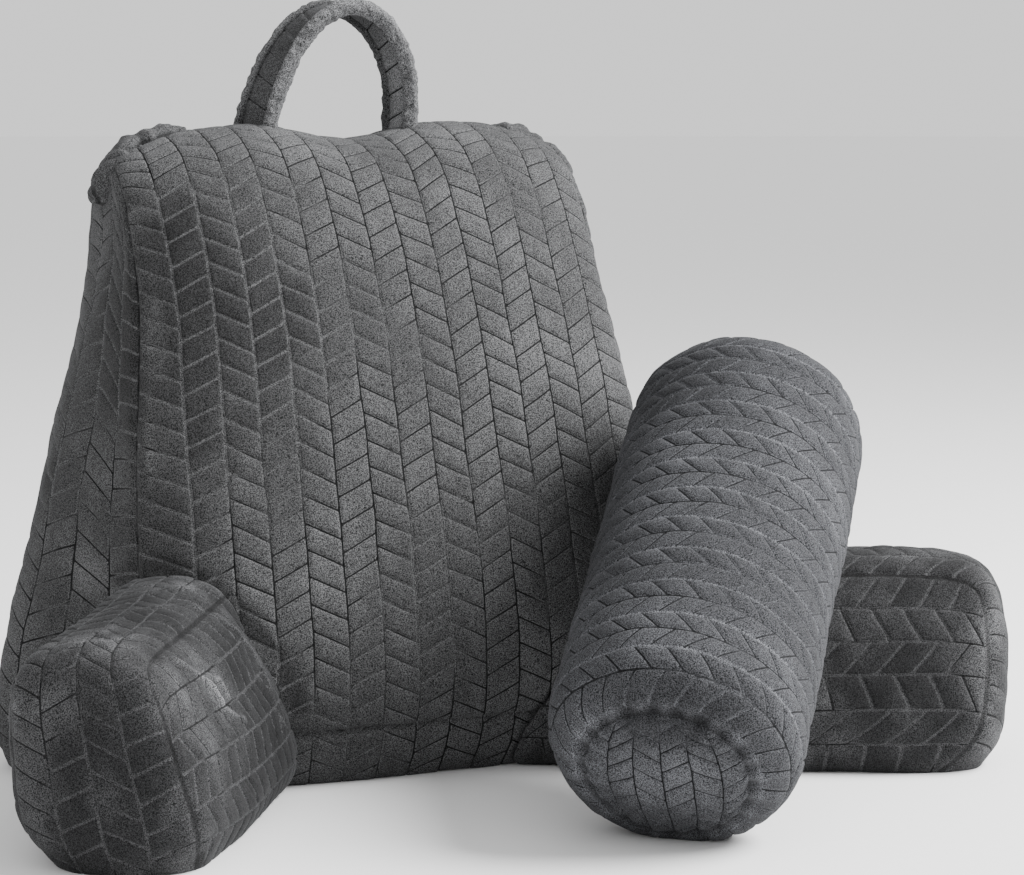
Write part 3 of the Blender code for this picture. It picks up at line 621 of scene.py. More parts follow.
class Piece:
    """Panels sewn into one closed mesh."""

    def __init__(self):
        self.points = np.zeros((0, 3))
        self.base = np.zeros((0, 3))
        self.layers = {label: np.zeros(0) for label in LAYERS}
        self.faces = []

    def add_points(self, points, base=None, **layers):
        start = len(self.points)
        flat = np.asarray(points, float).reshape(-1, 3)
        under = flat if base is None else np.asarray(base, float).reshape(-1, 3)
        self.points = np.concatenate([self.points, flat])
        self.base = np.concatenate([self.base, under])
        for label in LAYERS:
            values = np.zeros(len(flat)) + np.ravel(layers.get(label, 0.0))
            self.layers[label] = np.concatenate([self.layers[label], values])
        return np.arange(start, start + len(flat))

    def add_grid(self, ids, closed=False):
        after = np.roll(ids, -1, axis=1) if closed else ids[:, 1:]
        here = ids if closed else ids[:, :-1]
        quads = np.stack([here[:-1], here[1:], after[1:], after[:-1]], axis=-1)
        self.faces += [tuple(quad) for quad in quads.reshape(-1, 4).tolist()]

    def add_patch(self, patch, centre):
        points = patch.base + patch.normals(centre) * patch.height[..., None]
        ids = self.add_points(points, patch.base, **patch.layers)
        ids = ids.reshape(patch.u.shape)
        self.add_grid(ids, patch.closed)
        return ids

    def sew(self, first, second):
        """Join two chains of points that run side by side."""
        first, second = list(map(int, first)), list(map(int, second))
        points = self.base
        i = j = 0
        while i < len(first) - 1 or j < len(second) - 1:
            step_first = step_second = math.inf
            if i < len(first) - 1:
                step_first = math.dist(points[first[i + 1]], points[second[j]])
            if j < len(second) - 1:
                step_second = math.dist(points[second[j + 1]], points[first[i]])
            if step_first < step_second:
                self.faces.append((first[i], first[i + 1], second[j]))
                i += 1
            else:
                self.faces.append((first[i], second[j + 1], second[j]))
                j += 1

    def sew_rings(self, ring, border):
        """Join two closed rings of points, starting where they are closest."""
        ring, border = list(map(int, ring)), list(map(int, border))
        start = int(np.argmin(np.linalg.norm(self.base[ring] - self.base[border[0]], axis=1)))
        ring = ring[start:] + ring[:start + 1]
        reach = min(8, len(ring) // 4)
        ahead = self.base[ring[reach]] - self.base[ring[0]]
        if ahead.dot(self.base[border[reach]] - self.base[border[0]]) < 0:
            ring = ring[::-1]
        self.sew(ring, border + border[:1])

    def tree(self):
        """The smooth surface without its relief, to seat other pieces on."""
        return BVHTree.FromPolygons([Vector(p) for p in self.base], self.faces)

    def mesh(self, name, points):
        mesh = bpy.data.meshes.new(name)
        mesh.from_pydata(points, [], self.faces)
        for label, values in self.layers.items():
            layer = mesh.attributes.new(label, "FLOAT", "POINT")
            layer.data.foreach_set("value", values.astype(np.float32))
        return mesh

    def make(self, name, node, slot, material, press=None):
        """The closed mesh as an object, flat where it stands on the floor."""
        points = self.points if press is None else np.array([press(Vector(p)) for p in self.points])
        points[:, 2] = np.maximum(points[:, 2], FLOOR)
        mesh = self.mesh(name, points)
        bm = bmesh.new()
        bm.from_mesh(mesh)
        rim = [edge for edge in bm.edges if edge.is_boundary]
        if rim:
            base = bmesh.ops.holes_fill(bm, edges=rim, sides=0)["faces"]
            bmesh.ops.triangulate(bm, faces=base)
        bmesh.ops.recalc_face_normals(bm, faces=bm.faces)
        bm.to_mesh(mesh)
        bm.free()
        mesh.shade_smooth()
        return place(mesh, name, node, slot, material)


def place(mesh, name, node, slot, material):
    """Make the object of a mesh, hang it on the root body and hide the CAD part it stands for."""
    obj = bpy.data.objects.new(name, mesh)
    mesh.materials.append(material)
    bpy.context.scene.collection.objects.link(obj)
    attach(obj, "root")
    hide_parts(node)
    return obj


# Materials

def plush(name, colour, light=0.5, patch_size=0.09, groove_shade=0.92):
    """Short plush pile: thin grooves with a painted highlight along their rims, which keeps them pale where
    the cells are dark, and painted shade down their middles where the cells are light; patches of brushing
    and of painted light and shade, fine grain and sheen."""
    material = bpy.data.materials.new(name)
    material.use_nodes = True
    nodes = material.node_tree.nodes
    links = material.node_tree.links
    shader = nodes["Principled BSDF"]
    place_of = nodes.new("ShaderNodeTexCoord").outputs["Object"]

    def noise_node(size, detail, stretch=(1.0, 1.0, 1.0), roughness=0.5):
        mapping = nodes.new("ShaderNodeMapping")
        mapping.inputs["Scale"].default_value = stretch
        links.new(place_of, mapping.inputs["Vector"])
        node = nodes.new("ShaderNodeTexNoise")
        node.inputs["Scale"].default_value = 1 / size
        node.inputs["Detail"].default_value = detail
        node.inputs["Roughness"].default_value = roughness
        links.new(mapping.outputs["Vector"], node.inputs["Vector"])
        return node.outputs["Fac"]

    def ranged(value, low, high, to_low=0.0, to_high=1.0):
        node = nodes.new("ShaderNodeMapRange")
        node.interpolation_type = "SMOOTHSTEP"
        node.inputs["From Min"].default_value = low
        node.inputs["From Max"].default_value = high
        node.inputs["To Min"].default_value = to_low
        node.inputs["To Max"].default_value = to_high
        links.new(value, node.inputs["Value"])
        return node.outputs["Result"]

    def maths(operation, *values):
        node = nodes.new("ShaderNodeMath")
        node.operation = operation
        for socket, value in zip(node.inputs, values):
            if isinstance(value, float):
                socket.default_value = value
            else:
                links.new(value, socket)
        return node.outputs[0]

    def blend(a, b, share):
        node = nodes.new("ShaderNodeMix")
        for socket, value in zip((node.inputs["Factor"], *node.inputs[2:4]), (share, a, b)):
            links.new(value, socket)
        return node.outputs["Result"]

    def attribute(label):
        node = nodes.new("ShaderNodeAttribute")
        node.attribute_name = label
        return node.outputs["Fac"]

    patches = ranged(noise_node(patch_size, 3.0, (1.0, 1.0, 0.7)), 0.35, 0.68, -light, light)
    brushed = maths("POWER", 2.0, maths("ADD", patches, attribute("brushed")))
    streaks = ranged(noise_node(0.022, 2.0, (1.0, 1.0, 0.45)), 0.3, 0.7, 0.92, 1.1)
    grain = ranged(noise_node(0.0008, 2.0, roughness=0.6), 0.34, 0.66, 0.08, 2.40)
    groove = attribute("groove")
    cell = maths("MULTIPLY", brushed, streaks)
    # Painted highlight along each groove's rims: the cell's colour lifted towards pale
    pale = maths("ADD", maths("MULTIPLY", cell, 0.9), 0.75)
    rim = blend(cell, pale, ranged(groove, 0.20, 0.55))
    # Painted shade down the middle of each groove, stronger where the cell is lighter
    in_light = ranged(cell, 0.55, 1.1, 0.0, groove_shade)
    groove_painted_shade = maths("MULTIPLY", ranged(groove, 0.36, 0.74), in_light)
    # Dark seam and stitch lines, and painted shade in the troughs of the corner loops' pleats and
    # lengthwise folds
    seam = ranged(attribute("fold"), 0.1, 0.9, 0.0, 0.7)
    shade = maths("MULTIPLY", rim, maths("SUBTRACT", 1.0, groove_painted_shade))
    shade = maths("MULTIPLY", shade, maths("SUBTRACT", 1.0, seam))
    shade = maths("MULTIPLY", shade, grain)
    paint = nodes.new("ShaderNodeVectorMath")
    paint.operation = "SCALE"
    paint.inputs[0].default_value = colour
    links.new(shade, paint.inputs["Scale"])
    links.new(paint.outputs["Vector"], shader.inputs["Base Color"])
    bump = nodes.new("ShaderNodeBump")
    bump.inputs["Strength"].default_value = 0.55
    bump.inputs["Distance"].default_value = 0.0009
    links.new(noise_node(0.0022, 2.0, roughness=0.6), bump.inputs["Height"])
    links.new(bump.outputs["Normal"], shader.inputs["Normal"])
    shader.inputs["Roughness"].default_value = 0.92
    shader.inputs["Specular IOR Level"].default_value = 0.15
    shader.inputs["Sheen Weight"].default_value = 0.035
    shader.inputs["Sheen Roughness"].default_value = 0.4
    shader.inputs["Sheen Tint"].default_value = (0.75, 0.76, 0.8, 1.0)
    return material


# Back cushion

BACK_KNOTS = knots_of(BACK_STRIP)
BACK_ROWS = 2 * round(BACK_KNOTS[-1] / ROW / 2)


def back_strip_point(across, along):
    """Point of the front, top and rear cloth, at -1 to 1 across it."""
    y_mid, z_mid, y_edge, z_edge, half_width = smooth_row(BACK_STRIP, BACK_KNOTS, along)
    drop = crown_falloff(across)
    z = mix(z_mid, z_edge, drop)
    x = across * half_width + BACK_LEAN * max(z / BACK_TOP, 0.0) ** 2
    near_top = max(0.0, z_mid / BACK_TOP) ** 8
    z += near_top * (TOP_TILT * (1 + across) / 2 - TOP_DIP * math.exp(-(x / TOP_DIP_REACH) ** 2))
    return Vector((x, mix(y_mid, y_edge, drop), max(z, FLOOR)))


def back_line(line, along):
    """Place across the strip of a column line: even columns, and the last one takes the taper."""
    half_width = smooth_row(BACK_STRIP, BACK_KNOTS, along)[4]
    edge = 1.0 - SEAM / 2 / half_width
    fan = 1 + BACK_FAN * (half_width / BACK_MEAN_HALF_WIDTH - 1)
    even = COLUMN * fan / half_width
    inner = (BACK_COLUMNS / 2 - 1) * even
    if line < 1:
        return mix(-edge, -inner, line)
    if line > BACK_COLUMNS - 1:
        return mix(inner, edge, line - BACK_COLUMNS + 1)
    return (line - BACK_COLUMNS / 2) * even


def back_side_point(side, s, t):
    """Point of a side panel, s from the front seam to the rear one, t from the floor up."""
    low, high = BACK_KNOTS[BACK_SHOULDER_ROWS[0]], BACK_KNOTS[BACK_SHOULDER_ROWS[1]]
    end = BACK_KNOTS[-1]
    point = coons(
        lambda t: back_strip_point(side, mix(0.0, low, t)),
        lambda t: back_strip_point(side, mix(end, high, t)),
        lambda s: mix(back_strip_point(side, 0.0), back_strip_point(side, end), s),
        lambda s: back_strip_point(side, mix(low, high, s)),
        s,
        t,
    )
    rise = (1 - t) ** BACK_FLARE_FADE * min(1.0, BACK_FLARE_FOOT + t / BACK_FLARE_FOOT_HEIGHT)
    swell = math.sin(math.pi * s ** BACK_FLARE_REARWARD) ** BACK_FLARE_ROUNDNESS
    return point + Vector((side * BACK_SIDE_FLARE * rise * swell, 0.0, 0.0))


def back_cushion(material):
    piece = Piece()

    def strip_point(line, row):
        along = row * BACK_KNOTS[-1] / BACK_ROWS
        return back_strip_point(back_line(line, along), along)

    strip = Patch(BACK_COLUMNS, BACK_ROWS, strip_point)
    strip.fill("back_strip")
    strip.fold_and_paint("back_cushion")
    strip.sink_seam(strip.from_border("low_column"), 3)
    strip.sink_seam(strip.from_border("high_column"), 4)
    strip.sink_seam(np.abs(strip.from_border("low_row") - FRONT_SEAM), 5, FRONT_SEAM_DEPTH)
    ids = piece.add_patch(strip, BACK_MIDDLE)
    low, high = BACK_KNOTS[BACK_SHOULDER_ROWS[0]], BACK_KNOTS[BACK_SHOULDER_ROWS[1]]
    rows = round((low + BACK_KNOTS[-1] - high) / 2 / ROW)
    for side, edge in ((-1, ids[0]), (1, ids[-1])):

        def side_point(line, row):
            s = mix(BACK_SIDE_MARGIN, 1 - BACK_SIDE_MARGIN, line / BACK_SIDE_COLUMNS)
            return back_side_point(side, s, row / rows * BACK_SIDE_TOP)

        panel = Patch(BACK_SIDE_COLUMNS, rows, side_point)
        panel.fill("back_side")
        panel.fold_and_paint("back_cushion")
        for border in ("low_column", "high_column", "high_row"):
            panel.sink_seam(panel.from_border(border), 8)
        grid = piece.add_patch(panel, BACK_MIDDLE)
        border = list(grid[0]) + list(grid[1:-1, -1]) + list(grid[-1][::-1])
        piece.sew(edge, border)
    obj = piece.make("back_cushion_plush", "back_cushion", "plush_back", material)
    return piece.tree()


# Neck roll

ROLL_AXIS = Vector((
    math.cos(ROLL_SLOPE) * math.sin(ROLL_HEADING),
    math.cos(ROLL_SLOPE) * math.cos(ROLL_HEADING),
    math.sin(ROLL_SLOPE),
))
ROLL_ACROSS = Vector((math.cos(ROLL_HEADING), -math.sin(ROLL_HEADING), 0.0))
ROLL_UP = ROLL_ACROSS.cross(ROLL_AXIS)


def roll_radius(along):
    """The roll narrows over a short rounding at each end."""
    from_end = min(along, ROLL_LENGTH - along)
    reach, drop = ROLL_END_ROUNDING
    inward = max(0.0, 1 - from_end / reach)
    return ROLL_RADIUS - RELIEF - drop * (1 - math.sqrt(max(0.0, 1 - inward ** 2)))


def roll_foot():
    """Middle of the roll's lower end. Its foot sinks a little, for a small flat spot."""
    steps = 100
    lowest = min(
        ROLL_LENGTH * i / steps * math.sin(ROLL_SLOPE)
        - roll_radius(ROLL_LENGTH * i / steps) * math.cos(ROLL_SLOPE)
        for i in range(steps)
    )
    return Vector((*ROLL_FOOT, -lowest - ROLL_SINK))


ROLL_START = roll_foot()


def roll_point(along, radius, angle):
    spoke = ROLL_ACROSS * math.cos(angle) + ROLL_UP * math.sin(angle)
    return ROLL_START + ROLL_AXIS * along + spoke * radius


def disc_point(s, t):
    """Point of a round patch with four sides, as places -1 to 1 across and up."""
    quarter = math.pi / 4

    def rim(angle):
        return Vector((math.cos(angle), math.sin(angle)))

    return coons(
        lambda t: rim(math.pi + quarter - 2 * quarter * t),
        lambda t: rim(-quarter + 2 * quarter * t),
        lambda s: rim(math.pi + quarter + 2 * quarter * s),
        lambda s: rim(math.pi - quarter - 2 * quarter * s),
        s,
        t,
    )


def neck_roll(material):
    piece = Piece()
    centre = ROLL_START + ROLL_AXIS * ROLL_LENGTH / 2

    def body_point(line, row):
        along = mix(SEAM / 2, ROLL_LENGTH - SEAM / 2, line / ROLL_COLUMNS)
        return roll_point(along, roll_radius(along), 2 * math.pi * row / ROLL_RING)

    row = 2 * math.pi * ROLL_RADIUS / ROLL_RING
    body = Patch(
        ROLL_COLUMNS, ROLL_RING, body_point, True, ROLL_LENGTH / ROLL_COLUMNS, row, NARROW_STEPS
    )
    body.fill("roll_body")
    body.fold_and_paint("neck_roll")
    # Painted highlight along every second column line
    from_arc = np.abs(body.u - 2 * np.round(body.u / 2)) * ROLL_LENGTH / ROLL_COLUMNS
    arc = bell(from_arc, ROLL_ARC_WIDTH)
    body.layers["groove"] *= 1 - ROLL_ARC_FILL * arc
    body.layers["brushed"] += ROLL_ARC_PAINTED_HIGHLIGHT * arc
    for border, seed in (("low_column", 13), ("high_column", 14)):
        body.sink_seam(body.from_border(border), seed, *CAP_SEAM)
        body.scallop(body.from_border(border), 2 * math.pi * body.v / ROLL_RING)
    rings = piece.add_patch(body, centre)
    for along, outward, ring in ((0.0, -1, rings[0]), (ROLL_LENGTH, 1, rings[-1])):
        radius = roll_radius(along) - SEAM / 2

        def cap_point(line, row):
            flat = disc_point(line / ROLL_CAP_COLUMNS, row / ROLL_CAP_ROWS)
            dome = ROLL_CAP_CROWN * (1 - flat.length_squared)
            spoke = (ROLL_ACROSS * flat.x + ROLL_UP * flat.y) * radius
            return ROLL_START + ROLL_AXIS * (along + outward * dome) + spoke

        cap = Patch(ROLL_CAP_COLUMNS, ROLL_CAP_ROWS, cap_point)
        cap.fill("roll_cap")
        spokes = cap.base - np.array(ROLL_START + ROLL_AXIS * along)
        rim = np.maximum(radius - np.linalg.norm(spokes, axis=2), 0.0)
        cap.fold_and_paint("neck_roll")
        cap.height *= CAP_RELIEF
        cap.sink_seam(rim, 16, *CAP_SEAM)
        # Painted highlight round the cap's rim
        cap.layers["brushed"] += CAP_RIM_PAINTED_HIGHLIGHT * bell(rim, CAP_RIM)
        cap.scallop(rim, np.arctan2(spokes @ np.array(ROLL_UP), spokes @ np.array(ROLL_ACROSS)))
        grid = piece.add_patch(cap, centre)
        border = [*grid[0], *grid[1:-1, -1], *grid[-1][::-1], *grid[1:-1, 0][::-1]]
        piece.sew_rings(ring, border)
    obj = piece.make("neck_roll_plush", "neck_roll", "plush_roll", material)


def clear_of_roll(point):
    """Push a point of a soft neighbour out of the neck roll."""
    offset = point - ROLL_START
    along = offset.dot(ROLL_AXIS)
    if not -ROLL_CAP_CROWN < along < ROLL_LENGTH + ROLL_CAP_CROWN:
        return point
    spoke = offset - ROLL_AXIS * along
    room = ROLL_RADIUS + RELIEF
    if spoke.length >= room:
        return point
    return point + spoke.normalized() * (room - spoke.length)


# Arms

ARM_TOP = ARM_STRIP[-1][1]
ARM_KNOTS = knots_of([(reach * ARM_MEAN_LENGTH, z) for reach, z, *_ in ARM_STRIP])
ARM_ROWS = 2 * round(ARM_KNOTS[-1] / ROW / 2)


class Arm:
    """Places of one arm, from its root on the back cushion to its tip."""

    def __init__(self, side, splay, length, root, height_share, back_tree):
        angle = math.radians(splay)
        self.axis = Vector((side * math.sin(angle), -math.cos(angle), 0.0))
        self.out = Vector((side * math.cos(angle), math.sin(angle), 0.0))
        self.length = length
        self.height_share = height_share
        self.start = Vector((side * root, 0.0, 0.0))
        self.back_tree = back_tree

    def point(self, reach, across, height):
        """Point at 0 to 1 from root to tip, metres outwards from the middle, metres up."""
        level = Vector((0.0, 0.0, max(height, FLOOR) * mix(1.0, self.height_share, reach)))
        base = self.start + self.out * (across + ARM_LEAN * height / ARM_TOP) + level
        hit, normal, _, _ = self.back_tree.ray_cast(base + self.axis * ARM_ROOT_REACH, -self.axis)
        root = base
        if hit is not None:
            root = hit + self.axis * (SEATED / max(abs(normal.dot(self.axis)), ARM_ROOT_SLANT))
        return root.lerp(base + self.axis * self.length, reach)

    def strip_values(self, across, along):
        reach_mid, z_mid, reach_edge, z_edge, half_width = smooth_row(ARM_STRIP, ARM_KNOTS, along)
        drop = crown_falloff(across)
        reach = max(mix(reach_mid, reach_edge, drop), 0.0)
        return Vector((reach, across * half_width, max(mix(z_mid, z_edge, drop), FLOOR)))

    def side_values(self, face, s, t):
        """Values of a side panel, s from root to tip, t from the floor to the top seam."""
        tip, end = ARM_KNOTS[ARM_TIP_ROW], ARM_KNOTS[-1]
        values = coons(
            lambda t: self.root_edge(face, t),
            lambda t: self.strip_values(face, mix(0.0, tip, t)),
            lambda s: mix(self.root_edge(face, 0.0), self.strip_values(face, 0.0), s),
            lambda s: self.strip_values(face, mix(end, tip, s)),
            s,
            t,
        )
        bulge = (16 * (0.1 + 0.9 * s) * (1 - s) * (0.1 + 0.9 * t) * (1 - t)) ** 0.75
        values.y += face * ARM_SIDE_BULGE * bulge
        return values

    def root_edge(self, face, t):
        """Values along the upright border of the root, on one face."""
        top = self.strip_values(face, ARM_KNOTS[-1])
        swell = ARM_ROOT_SWELL * math.sin(math.pi * t ** 0.6) if face < 0 else 0.0
        return Vector((0.0, mix(face * ARM_ROOT_FOOT[face], top.y, t) + face * swell, top.z * t))


def arm(name, shape, material, slot):
    """One arm: the strip over its tip and top, two side panels, and the face on the back."""
    middle = shape.start + shape.axis * (0.55 * shape.length) + Vector((0.0, 0.0, ARM_TOP / 2))
    piece = Piece()

    def strip_point(line, row):
        across = mix(-ARM_STRIP_EDGE, ARM_STRIP_EDGE, line / ARM_COLUMNS)
        return shape.point(*shape.strip_values(across, row * ARM_KNOTS[-1] / ARM_ROWS))

    strip = Patch(ARM_COLUMNS, ARM_ROWS, strip_point)
    strip.fill("arm_strip")
    strip.fold_and_paint(name)
    strip.sink_seam(strip.from_border("low_column"), 23, *QUIET_SEAM)
    strip.sink_seam(strip.from_border("high_column"), 24, *QUIET_SEAM)
    ids = piece.add_patch(strip, middle)
    rows = round(ARM_SIDE_LENGTH / ROW)
    root_ends = []
    for face, edge in ((-1, ids[0]), (1, ids[-1])):

        def side_point(line, row):
            t = ARM_SIDE_TOP * line / ARM_SIDE_COLUMNS
            return shape.point(*shape.side_values(face, row / rows * ARM_SIDE_TIP, t))

        steps = FINE_STEPS if name == "arm_left" else COLUMN_STEPS
        panel = Patch(ARM_SIDE_COLUMNS, rows, side_point, steps=steps)
        panel.fill("arm_side")
        panel.fold_and_paint(name)
        if name == "arm_left" and face < 0:
            panel.fan()
        panel.sink_seam(panel.from_border("high_row"), 26, *QUIET_SEAM)
        panel.sink_seam(panel.from_border("high_column"), 27, *QUIET_SEAM)
        grid = piece.add_patch(panel, middle)
        piece.sew(edge, list(grid[:, -1]) + list(grid[-1][-2::-1]))
        root_ends.append(grid[:, 0])
    arm_root(piece, shape, root_ends, ids[:, -1])
    obj = piece.make(f"{name}_plush", name, slot, material, press=clear_of_roll)


def arm_root(piece, shape, root_ends, top):
    """The hidden face against the back cushion, between the two panels and the end of the strip."""
    inner, outer = root_ends
    columns, rows = ARM_ROOT_GRID
    points = []
    for column in range(1, columns):
        for row in range(rows):
            t = row / rows
            values = mix(shape.root_edge(-1, t), shape.root_edge(1, t), column / columns)
            points.append(shape.point(*values))
    grid = piece.add_points(points).reshape(columns - 1, rows)
    piece.add_grid(grid)
    piece.sew(inner, grid[0])
    piece.sew(outer, grid[-1])
    piece.sew([inner[-1], *grid[:, -1], outer[-1]], top)


# Carry handle

def handle_path(t):
    """Point of the strap's middle, from one foot over the arch to the other."""
    left, right = HANDLE_FEET
    turn = math.pi * t
    x = mix(left, right, 0.5) - (right - left) / 2 * math.cos(turn) + HANDLE_LEAN * math.sin(turn)
    rise = max(math.sin(turn), 0.0) ** mix(*HANDLE_ARCH, t)
    return Vector((x, HANDLE_Y, HANDLE_SEAT + HANDLE_RISE * rise))


def carry_handle(material, back_tree):
    piece = Piece()
    steps, sides = HANDLE_GRID
    at, spread = HANDLE_EDGE_ROLL
    coarse, fine = HANDLE_TUFTS
    points = []
    groove = []
    fold = []
    brushed = []
    travelled = 0.0
    for step in range(steps + 1):
        t = step / steps
        ahead = handle_path(min(t + 0.01, 1.0)) - handle_path(max(t - 0.01, 0.0))
        ahead.normalize()
        if step:
            travelled += (handle_path(t) - handle_path((step - 1) / steps)).length
        yaw = mix(*HANDLE_TURN, t)
        wide = Vector((math.sin(yaw), -math.cos(yaw), 0.0))
        wide = (wide - ahead * wide.dot(ahead)).normalized()
        thick = ahead.cross(wide).normalized()
        for side in range(sides):
            turn = 2 * math.pi * side / sides
            across = math.cos(turn)
            roll = math.exp(-((abs(across) - at) / spread) ** 4)
            share = mix(HANDLE_THIN_SHARE, 1.0, roll) * math.sqrt(max(1 - across ** 4, 0.0))
            face = 1 if math.sin(turn) >= 0 else -1
            from_stitch = abs(across) - at + HANDLE_STITCH_PLACE * spread
            stitch = math.exp(-(from_stitch / HANDLE_STITCH_WIDTH) ** 2)
            inner = 1.0 if abs(across) < at - spread else 0.0
            slant = (travelled + across * ZIG) / PITCH
            line = math.exp(-((slant - round(slant)) * PITCH / GROOVE) ** 2) * inner
            sunk = HANDLE_LINE_DEPTH * line + HANDLE_STITCH_DEPTH * stitch
            height = face * (share * HANDLE_THICKNESS / 2 - sunk)
            point = handle_path(t) + wide * across * HANDLE_WIDTH / 2 + thick * height
            tuft = noise.noise(point / coarse) + 0.6 * noise.noise(point / fine)
            outward = thick * math.sin(turn) + wide * across
            point += outward * mix(*HANDLE_TUFT_HEIGHT, roll) * tuft
            point += wide * HANDLE_WAVER[0] * noise.noise(point / HANDLE_WAVER[1]) * across
            if step in (0, steps):
                above = Vector((point.x, point.y, 2 * BACK_TOP))
                point.z = back_tree.ray_cast(above, Vector((0.0, 0.0, -1.0)))[0].z
            points.append(point)
            groove.append(line)
            fold.append(HANDLE_STITCH_DARK * stitch)
            # Painted shade on the first leg of the strap's faces and painted light on the second; the
            # rolled edges are painted lighter
            shade = mix(*HANDLE_FACE_PAINTED_SHADE, min(max(2.5 * t - 1.2, 0.0), 1.0))
            brushed.append(HANDLE_ROLL_LIGHTENING * roll * (0.7 + 0.6 * tuft) + shade * inner)
    layers = {"groove": groove, "fold": fold, "brushed": brushed}
    grid = piece.add_points(points, **layers).reshape(steps + 1, sides)
    piece.add_grid(grid, closed=True)
    obj = piece.make("carry_handle_strap", "carry_handle", "plush_handle", material)


# Gathered corner loops

def corner_loop(name, side, material):
    """A short tube of cloth pulled into uneven pleats."""
    piece = Piece()
    knots = knots_of(CORNER_LOOP, 3)
    steps, sides = CORNER_LOOP_GRID
    by_pleat, by_fold, by_lump = CORNER_LOOP_SWELL
    in_fold, in_pleat = CORNER_LOOP_TROUGH_SHADE
    points = []
    fold = []
    for step in range(steps + 1):
        at = knots[-1] * step / steps
        x, y, z, half = smooth_row(CORNER_LOOP, knots, at)
        ahead = Vector(smooth_row(CORNER_LOOP, knots, min(at + 0.002, knots[-1]))[:3])
        behind = Vector(smooth_row(CORNER_LOOP, knots, max(at - 0.002, 0.0))[:3])
        axis = (ahead - behind).normalized()
        wide = axis.cross(Vector((0.0, 0.0, 1.0))).normalized()
        thick = wide.cross(axis)
        for corner in range(sides):
            turn = 2 * math.pi * corner / sides
            round_way = Vector((math.cos(turn), math.sin(turn), 0.0))
            wander = noise.noise(round_way * 1.1 + Vector((step / 26, side * 3.0, 0.0)))
            pleat = math.cos(2 * math.pi * (CORNER_LOOP_PLEATS * step / steps + 0.8 * wander))
            lump = noise.noise(round_way * 1.3 + Vector((step / 30, side * 5.0, 2.0)))
            drift = 2.2 * noise.noise(Vector((step / 24, side * 7.0, 4.0)))
            long_fold = math.cos(CORNER_LOOP_LENGTHWISE * turn + drift + 2.5 * step / steps)
            swell = 1 + by_pleat * pleat + by_fold * long_fold + by_lump * lump
            size = half * CORNER_LOOP_PLUMP * swell
            point = Vector((x, y, z)) + wide * size * CORNER_LOOP_WIDENING * math.cos(turn)
            point += thick * size * math.sin(turn)
            point.x = point.x * side + CORNER_LOOP_SHIFT
            pile, pile_size = CORNER_LOOP_PILE
            point += Vector.Fill(3, pile * noise.noise(point / pile_size))
            points.append(point)
            # Painted shade in the troughs of the lengthwise folds and of the pleats
            fold.append(in_fold * max(-0.3 - long_fold, 0.0) + in_pleat * max(-pleat, 0.0) ** 3)
    # The left loop is painted darker and the right one lighter: painted shade and light
    brushed = CORNER_LOOP_SIDE_SHADE[side]
    grid = piece.add_points(points, fold=fold, brushed=brushed).reshape(steps + 1, sides)
    piece.add_grid(grid, closed=True)
    obj = piece.make(f"{name}_ruched", name, "plush_loop", material)


# Side pocket

def side_pocket(shape, material):
    """A patch with a gaping mouth and a turned hem, sewn on at its foot and its upright edges."""

    def pocket_point(line, row):
        s = mix(*POCKET_REACH, line / POCKET_COLUMNS)
        up = row / POCKET_ROWS
        values = shape.side_values(1, s, mix(*POCKET_HEIGHT, up) / shape.side_values(1, s, 1.0).z)
        gape = (max(math.sin(math.pi * line / POCKET_COLUMNS), 0.0) * up) ** POCKET_GAPE
        values.y += RELIEF + 2 * GAP + POCKET_MOUTH * gape
        return shape.point(*values)

    patch = Patch(POCKET_COLUMNS, POCKET_ROWS, pocket_point)
    patch.height *= POCKET_RELIEF
    depth, width = POCKET_STITCH
    patch.height -= depth * bell(patch.from_border("high_row") - POCKET_HEM, width)
    piece = Piece()
    piece.add_patch(patch, shape.start + shape.axis * (0.5 * shape.length))
    mesh = piece.mesh("side_pocket_cloth", piece.points)
    if sum(face.normal.dot(shape.out) for face in mesh.polygons) < 0:
        mesh.flip_normals()
    mesh.shade_smooth()
    obj = place(mesh, "side_pocket_cloth", "side_pocket", "plush_pocket", material)
    shell = obj.modifiers.new("thickness", "SOLIDIFY")
    shell.thickness = POCKET_THICKNESS
    shell.offset = 1.0


# Stage

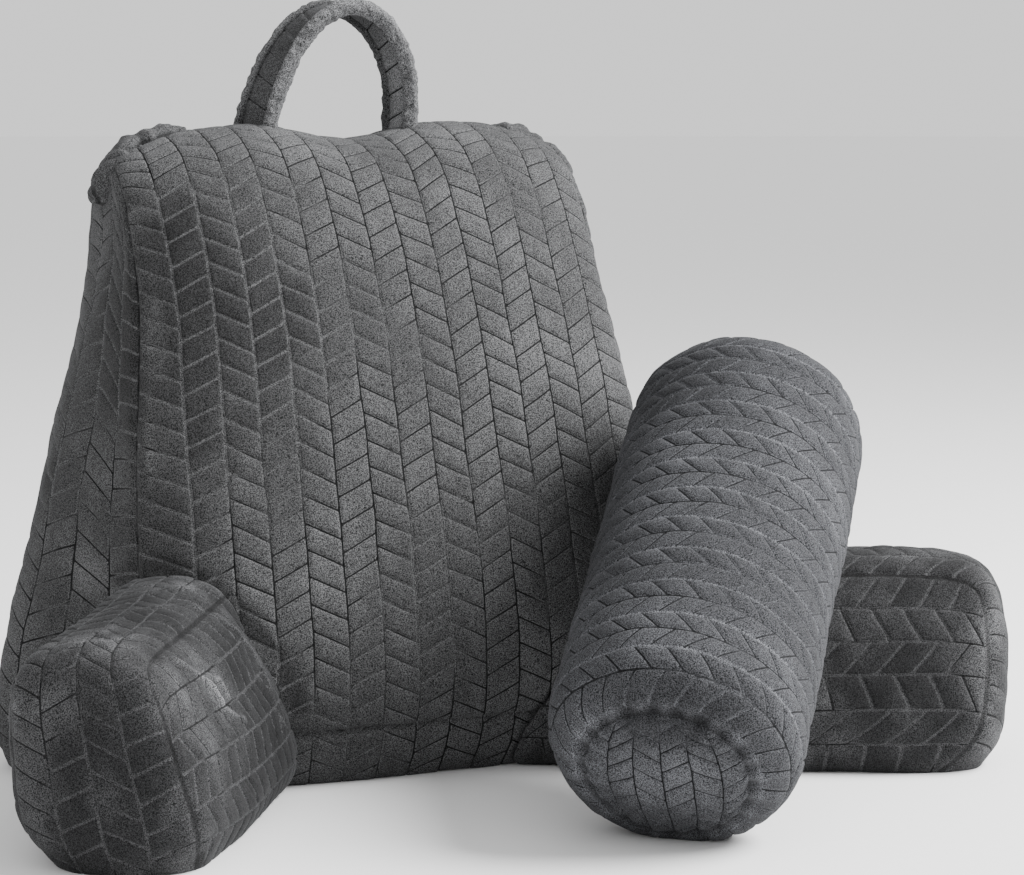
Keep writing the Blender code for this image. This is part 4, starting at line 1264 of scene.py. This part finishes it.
def stage():
    bpy.ops.mesh.primitive_circle_add(vertices=96, radius=STAGE_RADIUS, fill_type="NGON")
    floor = bpy.context.object
    floor.name = "floor"
    material = bpy.data.materials.new("pale_floor")
    material.use_nodes = True
    shader = material.node_tree.nodes["Principled BSDF"]
    shader.inputs["Base Color"].default_value = STAGE_SHADE
    shader.inputs["Roughness"].default_value = 0.8
    floor.data.materials.append(material)


def studio():
    """White sky, one large soft lamp and the camera."""
    scene = bpy.context.scene
    world = bpy.data.worlds.new("studio")
    world.use_nodes = True
    background = world.node_tree.nodes["Background"]
    background.inputs["Color"].default_value = (1.0, 1.0, 1.0, 1.0)
    background.inputs["Strength"].default_value = SKY_STRENGTH
    scene.world = world
    data = bpy.data.lights.new("key", "AREA")
    data.shape = "DISK"
    data.size = KEY_SIZE
    data.energy = KEY_POWER
    lamp = bpy.data.objects.new("key", data)
    lamp.location = KEY_PLACE
    lamp.rotation_euler = (VIEW_TARGET - KEY_PLACE).to_track_quat("-Z", "Y").to_euler()
    scene.collection.objects.link(lamp)
    data = bpy.data.cameras.new("camera")
    data.sensor_width = VIEW_SENSOR
    data.lens = VIEW_LENS
    camera = bpy.data.objects.new("camera", data)
    back = Vector((
        math.sin(VIEW_AZIMUTH) * math.cos(VIEW_ELEVATION),
        -math.cos(VIEW_AZIMUTH) * math.cos(VIEW_ELEVATION),
        math.sin(VIEW_ELEVATION),
    ))
    camera.location = VIEW_TARGET + back * VIEW_DISTANCE
    camera.rotation_euler = (-back).to_track_quat("-Z", "Y").to_euler()
    scene.collection.objects.link(camera)
    scene.camera = camera


stage()
studio()
tree = back_cushion(plush("plush_back_cloth", BACK_COLOUR, light=0.3))
arm_cloth = plush("plush_arm_cloth", ARM_SHADED_COLOUR, light=0.65, patch_size=0.05, groove_shade=0.8)
for name, *sizes in ARMS:
    shape = Arm(*sizes, tree)
    arm(name, shape, arm_cloth, "plush_arm")
    if name == "arm_left":
        side_pocket(shape, plush("plush_pocket_cloth", POCKET_COLOUR))
carry_handle(plush("plush_handle_cloth", HANDLE_COLOUR), tree)
loop_cloth = plush("plush_loop_cloth", LOOP_COLOUR)
corner_loop("corner_loop_left", -1, loop_cloth)
corner_loop("corner_loop_right", 1, loop_cloth)
neck_roll(plush("plush_roll_cloth", ROLL_COLOUR, light=0.3, groove_shade=0.85))
